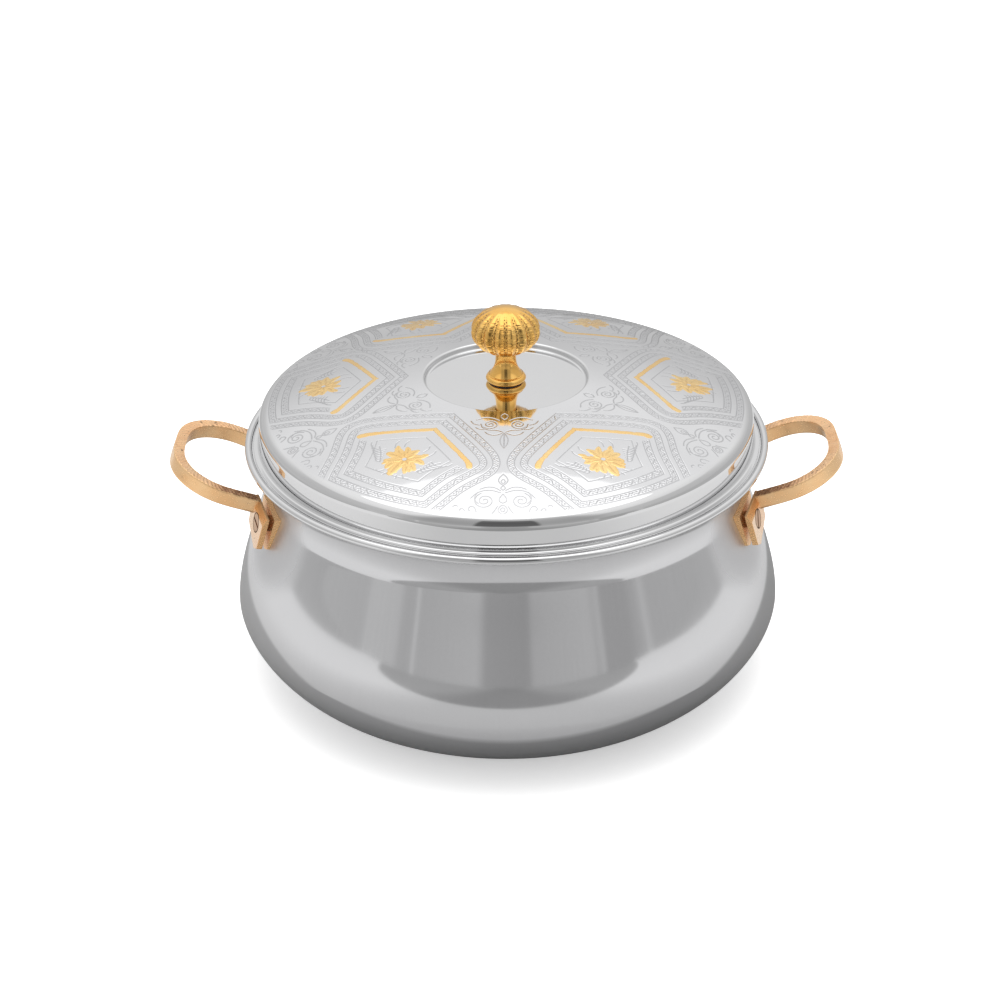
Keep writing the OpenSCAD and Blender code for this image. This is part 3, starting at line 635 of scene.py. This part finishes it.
def strokes_between():
    """Scrollwork between two medallions, v >= 0 half, in the frame of the axis between them."""
    lines = ([(104.5, 1), (103, 4.5), (102.6, 8), (104.2, 12), (107.5, 14.6)],
             [(103, 1.2), (100.8, 4), (100.6, 7.6), (102, 10.5)], [(118, 5.4), (115.5, 3.6), (112.9, 2.4)],
             [(117.5, 0.2), (116.6, 2), (114.6, 2.2), (112.6, 1), (112.2, 0)],
             [(116.2, 0.2), (115.4, 1.1), (114.2, 0.9), (113.8, 0)],
             [(115.9, 12), (113, 12.8), (112.4, 14.6), (114.2, 16), (115.4, 14.8)],
             [(115.2, 17.2), (113.6, 18), (113.8, 19.6), (115, 19.4)],
             [(112.2, 20.4), (111.2, 21.6), (112.2, 22.6)],
             [(111, 0), (110.2, 1.6), (108.4, 1.8), (106.4, 0.8), (105.2, 0)],
             [(102.8, 0), (101.6, 1.3), (100.4, 0.6), (99.6, 0)],
             [(99.6, 0), (97.8, 1.9), (95, 2.3), (91.8, 0)], [(98.4, 0.2), (97, 1.2), (95.6, 0.3)],
             [(72.6, 0), (69.2, 1.7), (65, 2), (60.4, 0.3)], [(72, 0), (67, 0.1), (60, 0)],
             [(59.4, 0.6), (57.4, 3.6), (57.6, 7.4), (55.6, 10.4), (52, 11)],
             [(60.4, 1.2), (62.2, 4.2), (61.2, 7.6), (59, 9)],
             [(49.6, 2.6), (47.2, 5.6), (46.6, 9.6), (48.4, 13)],
             [(49, 0), (47, 1.8), (44.6, 1.4), (43.4, 0)], [(53, 11.8), (52, 14.6), (49.2, 15.8)],
             [(57, 9.4), (56.6, 12.2), (55, 13.4)])
    spirals = [spiral(109.4, 8.3, 5.0, 160, 2.1), spiral(109.4, 8.3, 6.4, 150, 0.45)[:26],
               spiral(52.6, 6.6, 3.9, 60, 1.9)]
    return spirals + [smooth_curve(line) for line in lines]


def strokes_inside():
    """Feathers, leaves and feelers round a medallion's flower, v >= 0 half."""
    lines = [[(96, 10), (90.5, 13), (86, 17)], [(100.2, 5), (102.2, 6.8), (101.6, 9)],
             [(101.6, 2.8), (103.4, 3.6)], [(84.6, 9.2), (81.6, 10.6), (79, 10.2)],
             [(82.2, 5.4), (79.2, 6.4), (77.2, 5.6)]]
    for k in range(6):
        tip = 11.6 + 1.7 * k
        lines.append([(94.6 - 1.5 * k, 10.2 + 0.5 * k), (96.4 - 1.5 * k, 0.5 * (10.6 + tip)),
                      (95.9 - 1.7 * k, tip + 1.0), (94.0 - 1.9 * k, tip + 2.2)])
    return [smooth_curve(line) for line in lines]


def stamp(depth, r_of, a_of, x, y):
    """Cuts a stroke through points x, y into the relief of the polar grid, rows along r and columns round."""
    rows, cols = depth.shape
    dr = abs(r_of[1] - r_of[0])
    for px, py in zip(x, y):
        pr, pa = math.hypot(px, py), math.atan2(py, px)
        i = int(round((r_of[0] - pr) / dr))
        j = int(round(pa / (2 * np.pi) * cols))
        wi = int(2.2 * STROKE_W / dr) + 1
        wj = int(2.2 * STROKE_W / (pr * 2 * np.pi / cols)) + 1
        lo, hi = max(0, i - wi), min(rows, i + wi + 1)
        if lo >= hi:
            continue
        jj = np.arange(j - wj, j + wj + 1) % cols
        rr, aa = r_of[lo:hi, None], a_of[jj][None]
        d = np.hypot(rr * np.cos(aa) - px, rr * np.sin(aa) - py)
        depth[lo:hi, jj] = np.maximum(depth[lo:hi, jj], groove(d, STROKE_W))


def medallion_cuts(r, da, curve):
    """Depth and darkness of one medallion's bands and fine line, at radii r and angles da from its axis."""
    u, v = r * np.cos(da), r * np.sin(da)
    d_side, s = outline_distance(u, np.abs(v), curve)
    d_top = TOP_EDGE - r + 0 * u
    on_top = d_top < d_side
    d = np.where(on_top, d_top, d_side)
    s = np.where(on_top, r * np.abs(da), s)
    deep, dark = np.zeros(u.shape), np.zeros(u.shape)
    for number, (lo, hi) in enumerate(BANDS):
        inside, shown = (d > lo) & (d < hi), 1.0
        if number == OUTERMOST:
            inside, shown = inside & ~on_top, ~on_top
        if number == INNERMOST:
            inside = inside & ((u > INNERMOST_FROM + 0.5) | on_top)
            shown = np.clip((u - INNERMOST_FROM) / 1.5, 0, 1)
        b = braid((d - lo) / (hi - lo), s, hi - lo)
        deep = np.where(inside, np.maximum(deep, BAND_DEPTH * b), deep)
        dark = np.where(inside, np.maximum(dark, 0.05 + 0.95 * b), dark)
        for edge in (lo, hi):
            line = groove(d - edge, EDGE_W) * shown
            deep, dark = np.maximum(deep, EDGE_DEPTH * line), np.maximum(dark, line)
    line = groove(d - FINE_LINE, LINE_W)
    return np.maximum(deep, LINE_DEPTH * line), np.maximum(dark, 0.8 * line)


def engraving(r, a):
    """Depth in millimetres and darkness of all cuts on the dome's polar grid."""
    depth, cut, strokes = (np.zeros((len(r), len(a))) for _ in range(3))
    curve = smooth_curve(SHIELD, 1.2)
    for turn in TURNS:
        da = (a - turn + np.pi) % (2 * np.pi) - np.pi
        mine = np.nonzero(np.abs(da) < HALF_SECTOR)[0]
        deep, dark = medallion_cuts(r[:, None], da[mine], curve)
        depth[:, mine] = np.maximum(depth[:, mine], deep)
        cut[:, mine] = np.maximum(cut[:, mine], dark)
    for axes, lines in ((TURNS, strokes_inside()), (BETWEEN, strokes_between())):
        for axis in axes:
            ca, sa = math.cos(axis), math.sin(axis)
            for line in lines:
                u, v = resampled(line).T
                for side in (1, -1):
                    stamp(strokes, r, a, u * ca - side * v * sa, u * sa + side * v * ca)
    row = np.arange(len(r))
    fade = np.clip(np.minimum(row, row[::-1]) / 4.0, 0, 1)[:, None]
    return np.maximum(depth, STROKE_DEPTH * strokes) * fade, np.maximum(cut, 0.85 * strokes) * fade


def make_lid():
    path, i0, i1 = lid_profile()
    n = path_normals(path)
    n[0] = n[1] = (0.0, 1.0)
    hem = strips(np.concatenate([[[FLANGE_R - SHELL_T, LEDGE_Z + 0.1], [FLANGE_R - 0.15, LEDGE_Z]],
                                 arc((FLANGE_R - HEM_R, FLANGE_TOP - HEM_R), HEM_R, 0, 90, 6)]))
    rim = lathe("lid_rim", [path[:i0 + 1]] + hem, 720, MIRROR, "lid",
                normals=[n[:i0 + 1]] + [path_normals(p) for p in hem])
    well = lathe("lid_well", [path[i1:]], 720, MIRROR, "lid", normals=[n[i1:]])

    # The dome is a polar grid, which the engraving cuts into.
    profile = path[i0:i1 + 1]
    a = 2 * np.pi * np.arange(COLS) / COLS
    depth, cut = engraving(profile[:, 0], a)
    up = spun(n[i0:i1 + 1], a)
    verts = spun(profile, a) - depth[..., None] * up
    normal = np.cross(np.roll(verts, -1, 1) - np.roll(verts, 1, 1), np.gradient(verts, axis=0))
    normal /= np.linalg.norm(normal, axis=-1, keepdims=True)
    normal *= np.sign((normal * up).sum(-1, keepdims=True))
    normal = np.where((depth < 1e-4)[..., None], up, normal)
    dome = add_mesh("lid_dome", verts.reshape(-1, 3), grid_faces(len(profile), COLS), ENGRAVED, "lid",
                    normal, {"cut": cut})
    for o in (rim, dome, well):
        stands_for("lid_shell")


# ------ gold on the lid

SUNK = -0.05    # how far the edges of the gold lie under the steel


def on_dome(points, turn, lift):
    """Points (u, v) of a medallion laid on the dome, lifted by so many millimetres."""
    u, v = points[..., 0], points[..., 1]
    c, s = math.cos(turn), math.sin(turn)
    x, y = u * c - v * s, u * s + v * c
    r = np.hypot(x, y)
    slope = (dome_z(r + 0.2) - dome_z(r - 0.2)) / 0.4
    n = np.stack([-slope * x / r, -slope * y / r, np.ones_like(r)], -1)
    n /= np.linalg.norm(n, axis=-1, keepdims=True)
    return np.stack([x, y, dome_z(r)], -1) + n * lift[..., None]


def uneven(n, seed, knots):
    """Smooth random values from -1 to 1."""
    values = np.random.default_rng(seed).uniform(-1, 1, knots + 1)
    return np.interp(np.linspace(0, knots, n), np.arange(knots + 1), values)


def chevron(turn, seed):
    """Gold strip with ragged edges along the inner half of a medallion."""
    step, half_width = 0.4, 1.3
    arm = resampled(smooth_curve([(64.5, 0.0), (66.0, 2.8), (78.6, 26.0), (81.0, 29.6), (83.8, 31.4)]), step)
    arm[0] = (64.2, 0.0)
    line = np.concatenate([arm[::-1] * [1, -1], arm[1:]])
    n = -path_normals(line)
    n[len(arm) - 1] *= 1.12
    rows = len(line)
    far = np.minimum(np.arange(rows), np.arange(rows)[::-1]) * step
    ends = np.sqrt(1 - (1 - np.clip(far / 1.9, 0.0, 1.0)) ** 2) * (1 + 0.42 * np.exp(-(far / 6.0) ** 2))
    wide = [(half_width + 0.20 * uneven(rows, k, 60) + 0.10 * uneven(rows, k + 1, 170)) * ends
            for k in (seed, seed + 2)]
    t = np.linspace(-1, 1, 13)
    off = t * np.where(t < 0, wide[0][:, None], wide[1][:, None])
    points = line[:, None] + n[:, None] * off[..., None]
    rough = 0.045 * np.random.default_rng(seed + 4).uniform(0, 1, off.shape)
    lift = np.where(np.abs(t) > 0.99, SUNK, 0.085 - rough)
    lift[0] = lift[-1] = SUNK
    return on_dome(points, turn, lift), (np.abs(t) > 0.8) * np.ones((rows, 1)) * 0.5


# A leaf is where its root lies (u, v), its angle in degrees, its length and its width.
PETALS = [(92, 0, 0, 11.2, 4.4)] + [
    (u, v * side, angle * side, length, width) for side in (1, -1) for u, v, angle, length, width in (
        (91.2, 1, 27, 10, 3.9), (90.3, 1.8, 57, 9, 3.8), (89.6, 1.6, 90, 8.8, 3.6),
        (89, 1.5, 122, 8.4, 3.4), (88.6, 0.7, 157, 7.8, 3.2), (94, 5.4, 34, 4.6, 2.2),
        (86, 6, 140, 4.4, 2))]
HEART = [(90.4 + 0.9 * math.cos(0.9 * k), 0.9 * math.sin(0.9 * k), 51.4 * k, 4.6, 2.7) for k in range(7)]


def petal(turn, leaf, seed, height):
    """One gold leaf with a vein and an uneven edge."""
    rng = np.random.default_rng(seed)
    u0, v0, angle, length, width = leaf
    angle = math.radians(angle + rng.uniform(-6, 6))
    length, width = length * rng.uniform(0.9, 1.08), width * rng.uniform(0.88, 1.12)
    t = np.linspace(0, 1, 18)[:, None]
    q = np.linspace(-1, 1, 9)[None]
    bow = rng.uniform(-0.12, 0.12)
    half = 0.68 * width * np.sin(math.pi * t ** 0.85) ** 0.6 * (1 + 0.16 * rng.uniform(-1, 1, (18, 1)))
    along, across = length * t + 0 * q, half * q + bow * length * np.sin(math.pi * t)
    u = u0 + along * math.cos(angle) - across * math.sin(angle)
    v = v0 + along * math.sin(angle) + across * math.cos(angle)
    rim = np.maximum(np.abs(q) + 0 * t, np.abs(2 * t - 1) + 0 * q)
    vein = groove(q + 0 * t, 0.16) * (t < 0.8)
    lift = height + 0.05 * (1 - q * q) * np.sin(math.pi * t) - 0.05 * vein - 0.02 * rng.uniform(0, 1, u.shape)
    lift = np.where(rim > 0.99, SUNK, lift)
    return on_dome(np.stack([u, v], -1), turn, lift), np.clip((rim > 0.8) * 0.4 + 0.6 * vein, 0, 0.65)


def make_inlay():
    """The six chevrons are one piece and the six flowers another."""
    chevrons, flowers = [], []
    for k, turn in enumerate(TURNS):
        chevrons.append(chevron(turn, 20 + 10 * k))
        flowers += [petal(turn, leaf, 100 * k + i, 0.05) for i, leaf in enumerate(PETALS)]
        flowers += [petal(turn, leaf, 100 * k + 40 + i, 0.10) for i, leaf in enumerate(HEART)]
    for name, parts in (("lid_gold_chevrons", chevrons), ("lid_gold_flowers", flowers)):
        faces, base = [], 0
        for points, _ in parts:
            faces.append(grid_faces(*points.shape[:2], False, base))
            base += points.shape[0] * points.shape[1]
        o = add_mesh(name, np.concatenate([p.reshape(-1, 3) for p, _ in parts]), np.concatenate(faces), INLAY,
                     "lid", values={"dark_tone": np.concatenate([w.reshape(-1) for _, w in parts])})


# ------ the knob

BEAD_H, BEAD_R, BEAD_IN, RING_H = 3.4, 9.9, 8.6, 0.5
SEAM_HALF = 0.78    # half the width of the stippled band between two lobes
MARK_STEP = 1.15    # length of a band that each punched mark takes


def make_knob_post():
    ledge_r = BEAD_R - 1.1
    cove_r = ledge_r - 0.5
    cove_z = BEAD_H + RING_H
    t = np.linspace(0, 1, 33)
    bead = np.stack([BEAD_IN + (BEAD_R - BEAD_IN) * np.sin(math.pi * t) ** 0.8,
                     BEAD_H * t], 1)
    ledge = np.concatenate([[[BEAD_IN - 0.02, BEAD_H]],
                            arc((ledge_r - 0.2, BEAD_H + 0.2), 0.2, -60, 60, 6), [[cove_r + 0.1, cove_z]]])
    cove = cubic([cove_r, cove_z], [cove_r - 2.4, cove_z + 3], [WAIST_R, STEM_H - 7], [WAIST_R, STEM_H], 40)
    cove = np.concatenate([[[cove_r, cove_z]], cove])
    up = np.array([0.0, WELL_Z + GASKET_T])
    o = lathe("knob_post", [p + up for p in (bead, ledge, cove)], 192, GOLD, "lid")
    stands_for("knob_stem")


def make_knob_ball():
    """Flattened ball of lobes; the bands between them carry punched marks, except near the poles."""
    rows, cols = 170, LOBES * 32
    polar = np.linspace(SEAT, math.radians(179.6), rows)[:, None]    # from the stem to the top
    az = 2 * np.pi * np.arange(cols) / cols
    wide = np.sin(polar)
    at = az * LOBES / (2 * np.pi) + 0.5
    number = np.floor(at)
    run = HEAD_R * polar * 0.86
    across = np.abs(at % 1 - 0.5) * 2 * np.pi * HEAD_R / LOBES * wide ** 0.7
    marked = np.clip((math.radians(153) - polar) / 0.2, 0, 1) * np.clip((polar - 0.62) / 0.2, 0, 1)
    sway = 0.16 * np.sin(run * 2.3 + 1.7 * number) + 0.10 * np.sin(run * 5.1 + 2.9 * number)
    half = SEAM_HALF * np.clip(wide * 1.5, 0, 1) + sway * np.clip(wide * 2 - 0.6, 0, 1)
    lobe = np.clip((across - half) / (np.pi * HEAD_R / LOBES - SEAM_HALF), 0, 1)
    crown = np.cos(0.5 * math.pi * lobe ** 0.8) ** 2 * np.clip(wide * 1.8 - 0.1, 0, 1)
    edge = groove(across - half, 0.20) * marked

    # Every mark lies on the other side of its band than the one before; some are left out.
    mark = np.floor(run / MARK_STEP)
    chance = np.sin(number * 12.9898 + mark * 78.233) * 43758.5453
    chance = chance - np.floor(chance)
    signed = across * np.sign(at % 1 - 0.5)
    side = np.where(mark % 2 == 0, 1, -1)
    pit = groove(np.hypot((run / MARK_STEP % 1 - 0.5) * 0.85, signed - side * 0.42), 0.30)
    pit = pit * (chance > 0.35) * marked

    r = HEAD_R * wide - (crown + 0.22 * edge + 0.35 * pit) * wide ** 1.2
    verts = np.stack([r * np.cos(az), r * np.sin(az), HEAD_Z - HEAD_H * np.cos(polar) + 0 * r], -1)
    dark = np.clip(1.2 * edge * (0.5 + 0.5 * np.sin(run * 3.7 + 2 * number)) + 1.2 * pit, 0, 1)
    faces = grid_faces(rows, cols).tolist() + [list(range((rows - 1) * cols, rows * cols))]
    o = add_mesh("knob_ball", verts.reshape(-1, 3), faces, GOLD, "lid", values={"dark_tone": dark})
    stands_for("knob_head")


# ------ the handles

LUG_TILT, LUG_AZ, SCREW_Z, LUG_T = math.radians(13.0), math.radians(18.5), 99.0, 3.0
LUG_STACK = LUG_T + 2.4 + 2.5    # lug, sleeve and mount plate
FACE_R = NECK_R + (NECK_Z - SCREW_Z) * math.tan(NECK_TILT) + LUG_STACK / math.cos(LUG_TILT)
LOOP_END, LOOP_HALF, BEND_R, BEND_EASE = RIM_R + 38.0, 36.5, 29.0, 7.5
BEND_TURN = math.radians(90.0 + 9.0)
LOOP_TILT, ROOT_Z, BAR_T, BAR_H = math.radians(21.5), 108.2, 5.5, 8.0
ROOT_X = FACE_R * math.cos(LUG_AZ)
TOP_COLUMNS, TOP_MIDDLE = (3, 19), 8    # of the bar's section, the columns on its hammered top
TOE_C, TOE_R, TOE_TURN = (5.5, -11.5), 2.6, math.radians(22)
TOE = (TOE_R * math.cos(TOE_TURN), TOE_R * math.sin(TOE_TURN))
LUG_OUT = [(-12.75, 9.25), (-12.75, -5.0), (TOE_C[0] - TOE[0], TOE_C[1] - TOE[1]),
           (TOE_C[0] + TOE[0], TOE_C[1] + TOE[1]), (11.5, 7.0)]
HOLE_R, SINK_R, SINK_H = 2.65, 5.7, 2.0


def lug_matrix(front):
    m = (Matrix.Rotation(LUG_AZ, 4, "Z") @ Matrix.Translation((FACE_R, 0, SCREW_Z))
         @ Matrix.Rotation(-LUG_TILT, 4, "Y"))
    return Matrix.Scale(-1, 4, (0, 1, 0)) @ m if front else m


def bar_section():
    """Points (inwards, down) round the bar, and how much of the hammered top each takes."""
    top_r, low_r = 0.5, 0.6
    corners = [(-top_r, -top_r, top_r, 14), (top_r - BAR_T, -top_r, top_r, 8),
               (low_r - BAR_T, low_r - BAR_H, low_r, 6), (-low_r, low_r - BAR_H, low_r, 8)]
    points, top = [], []
    for i, (cx, cz, r, n) in enumerate(corners):
        bend = np.radians(90.0 * i + 22.5 * np.arange(5))
        points += [(cx + r * math.cos(a), cz + r * math.sin(a)) for a in bend]
        top += [max(0.0, math.sin(a)) if i < 2 else 0.0 for a in bend]
        x, z, r = corners[(i + 1) % 4][:3]
        start, end = np.array(points[-1]), np.array([x + r * math.cos(bend[-1]), z + r * math.sin(bend[-1])])
        points += [tuple(start + (end - start) * k / n) for k in range(1, n)]
        top += [1.0 if i == 0 else 0.0] * (n - 1)
    return np.array(points), np.array(top)


def loop_line():
    """Outer line of half the loop seen from above, from its end to the lug, and its turn at each point."""
    straight, bend = LOOP_HALF - BEND_R, BEND_R * BEND_TURN
    c, sn = math.cos(BEND_TURN), math.sin(BEND_TURN)
    end = np.array([LOOP_END - BEND_R + BEND_R * c - BEND_EASE * sn,
                    LOOP_HALF - BEND_R + BEND_R * sn + BEND_EASE * c])
    run = np.linspace(0, straight + bend + BEND_EASE, 172)
    rise = np.clip((run - straight) / (2 * BEND_EASE) + 0.5, 0, 1)
    fall = np.clip((run - straight - bend) / (2 * BEND_EASE) + 0.5, 0, 1)
    bent = rise - fall    # how much of the bend's curvature each point has
    theta = np.concatenate([[0], np.cumsum(0.5 * run[1] * (bent[1:] + bent[:-1]) / BEND_R)])
    theta *= BEND_TURN / theta[-1]
    mid = 0.5 * (theta[1:] + theta[:-1])
    line = np.concatenate([[[0, 0]], np.cumsum(np.stack([-np.sin(mid), np.cos(mid)], 1) * run[1], 0)])
    line += [LOOP_END - 0.03, 0]
    return line + (end - line[-1]) * (run / run[-1])[:, None], theta


def loop_rows(sec):
    """The loop on the +X side as rows of section points, from the front lug to the rear one."""
    ct, st = math.cos(LOOP_TILT), math.sin(LOOP_TILT)

    def place(p, turn, side):
        """Section on outer-line point p, in the pot's frame."""
        q = p + np.array([math.cos(turn), math.sin(turn)]) * sec[:, :1]
        x = q[:, 0] - ROOT_X
        return np.stack([x * ct - sec[:, 1] * st + ROOT_X, side * q[:, 1], x * st + sec[:, 1] * ct + ROOT_Z], 1)

    line, theta = loop_line()
    way = np.array([-math.sin(BEND_TURN), math.cos(BEND_TURN)])
    halves = {}
    for side, front in ((1, False), (-1, True)):
        rows = [place(p, turn, side) for p, turn in zip(line, theta)]
        # The rest runs straight into the middle of the lug's thickness.
        near, far = rows[-1], place(line[-1] + way * 10.0, BEND_TURN, side)
        to_lug = np.array(lug_matrix(front).inverted())[0]
        h0, h1 = (q @ to_lug[:3] + to_lug[3] for q in (near, far))
        reach = (-LUG_T / 2 - h0) / (h1 - h0)
        rows += [near + (far - near) * (reach * k)[:, None] for k in np.linspace(0, 1, 56)[1:]]
        halves[side] = np.array(rows)
    return np.concatenate([halves[-1][::-1], halves[1][1:]])


def loop_mesh(seed):
    """The loop's rows with the hammered top, and how much darker each point is."""
    sec, top = bar_section()
    points = loop_rows(sec)
    steps = np.linalg.norm(np.diff(points[:, TOP_MIDDLE], axis=0), axis=1)
    s = np.concatenate([[0], np.cumsum(steps)])[:, None]
    total = s[-1, 0]
    to_front, to_rear = s, total - s
    rng = np.random.default_rng(seed)
    wob = np.interp(s[:, 0], np.arange(0, total + 3, 2.1),
                    rng.uniform(-1, 1, int((total + 3) / 2.1) + 1))[:, None]
    lumps = 0.5 + 0.5 * wob
    a = sec[None, :, 0]
    near = np.clip(1 - np.minimum(to_front, to_rear * 1.6) / 30.0, 0, 1)
    ridge = 0.5 + 0.5 * np.cos(2 * np.pi * (s * 0.92 + (a + 2.7) * 0.55 + 0.5 * wob) / 2.0)
    rag = rng.uniform(0, 1, points.shape[:2])
    scallop = (0.5 + 0.5 * np.cos(2 * np.pi * s / 3.1 + wob)) * np.clip(-a - 3.6, 0, 2) / 2
    down = top * (0.30 * ridge + 0.20 * rag + 0.18 * lumps + near * (0.25 * lumps + 0.20 * rag)
                  + 0.6 * scallop * (0.4 + near))
    points = points - down[..., None] * np.array([-math.sin(LOOP_TILT), 0.0, math.cos(LOOP_TILT)])
    # Darker on the top towards the lug ends, most towards the front one, in the hammered dips and at scattered
    # spots; underneath, darker within 7 mm of either end.
    darker_amount = np.maximum(np.clip((25.0 - to_front) / 9.0, 0, 1), 0.35 * np.clip((18.0 - to_rear) / 8.0, 0, 1))
    spots = (rng.uniform(0, 1, points.shape[:2]) > 0.965) * 0.33
    dip = np.clip(down / 0.6 - 0.25, 0, 1)
    darkening = top * np.clip(darker_amount * (0.55 + 0.55 * dip) + spots + 0.25 * dip, 0, 1)
    low = sec[None, :, 1] < -BAR_H + 0.7
    return points, np.maximum(darkening, low * np.clip((7.0 - np.minimum(to_front, to_rear)) / 6.0, 0, 0.7))


def lug_mesh():
    """Cast lug with its bevelled top edge and countersunk hole, on the +X side, screw's axis along X."""
    bm = bmesh.new()
    back, face = ([bm.verts.new((x, y, z)) for y, z in LUG_OUT] for x in (-LUG_T, 0))
    bm.faces.new(back[::-1])
    bm.faces.new(face)
    k = len(LUG_OUT)
    for i in range(k):
        bm.faces.new((back[i], back[(i + 1) % k], face[(i + 1) % k], face[i]))
    slope, lean = math.atan(2.25 / 24.25), math.atan(1.8 / 4.0)
    top_way = Vector((math.cos(lean), math.sin(lean) * math.sin(slope), math.sin(lean) * math.cos(slope)))
    geom = bm.verts[:] + bm.edges[:] + bm.faces[:]
    cut = bmesh.ops.bisect_plane(bm, geom=geom, plane_co=(0, 11.5, 3.0), plane_no=top_way, clear_outer=True)
    bmesh.ops.contextual_create(bm, geom=[e for e in cut["geom_cut"] if isinstance(e, bmesh.types.BMEdge)])
    bmesh.ops.recalc_face_normals(bm, faces=bm.faces)
    bmesh.ops.bevel(bm, geom=bm.edges[:], offset=0.28, segments=3, profile=0.6, affect="EDGES")
    me = bpy.data.meshes.new("lug")
    bm.to_mesh(me)
    bm.free()

    n = 48
    turns = 2 * math.pi * np.arange(n) / n
    rings = ((0.5, SINK_R), (-SINK_H, HOLE_R), (-LUG_T - 1.0, HOLE_R))
    tool = bpy.data.meshes.new("lug_cut")
    tool.from_pydata([(x, r * math.cos(a), r * math.sin(a)) for x, r in rings for a in turns], [],
                     [tuple(range(n)), tuple(range(3 * n - 1, 2 * n - 1, -1)),
                      *grid_faces(3, n)[:, ::-1].tolist()])
    for mesh in (me, tool):
        for m in (EDGE_BRASS, SINK_SHADE_BRASS, LIT_FACE_BRASS):
            mesh.materials.append(m)
    # Painted light: the flat outer face takes the paler brass, the rest takes the edge brass.
    for f in me.polygons:
        f.material_index = 2 if f.normal.x > 0.97 else 0
    # The hole's faces take the dark brown of painted shade.
    tool.polygons.foreach_set("material_index", [1] * len(tool.polygons))
    o, cutter = (add_object(mesh.name, mesh) for mesh in (me, tool))
    hole = o.modifiers.new("hole", "BOOLEAN")
    hole.object, hole.operation, hole.solver = cutter, "DIFFERENCE", "EXACT"
    done = bpy.data.meshes.new_from_object(o.evaluated_get(bpy.context.evaluated_depsgraph_get()))
    bpy.data.objects.remove(cutter)
    bpy.data.objects.remove(o)
    return done


def make_lug(name, side, front):
    me = lug_mesh()
    me.name = name
    m = Matrix.Scale(MM, 4) @ Matrix.Scale(side, 4, (1, 0, 0)) @ lug_matrix(front)
    me.transform(m)
    if m.determinant() < 0:
        me.flip_normals()
    co = np.zeros(len(me.vertices) * 3, np.float32)
    me.vertices.foreach_get("co", co)
    # Darker towards the top of the lug, where the loop's end meets it.
    darkening = np.clip((co[2::3] / MM - 104.6) / 3.5, 0, 0.8)
    me.attributes.new("dark_tone", "FLOAT", "POINT").data.foreach_set("value", darkening.astype(np.float32))
    o = add_object(name, me)
    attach(o, "pot")
    return o


def make_handles():
    for word, side, seed in (("right", 1, 3), ("left", -1, 11)):
        points, darkening = loop_mesh(seed)
        faces = grid_faces(*points.shape[:2])
        loop = add_mesh(word + "_handle_loop", (points * [side, 1, 1]).reshape(-1, 3),
                        faces if side < 0 else faces[:, ::-1], BRASS, "pot", values={"dark_tone": darkening})
        loop.data.materials.append(TOP_BRASS)
        column = np.arange(len(faces)) % points.shape[1]
        on_top = (column >= TOP_COLUMNS[0]) & (column <= TOP_COLUMNS[1])
        loop.data.polygons.foreach_set("material_index", on_top.astype(np.int32))
        for o in (loop, make_lug(word + "_front_lug", side, True), make_lug(word + "_rear_lug", side, False)):
            stands_for(word + "_handle")


add_camera()
add_studio()
dress_frame()
make_pot()
make_lid()
make_inlay()
make_knob_post()
make_knob_ball()
make_handles()
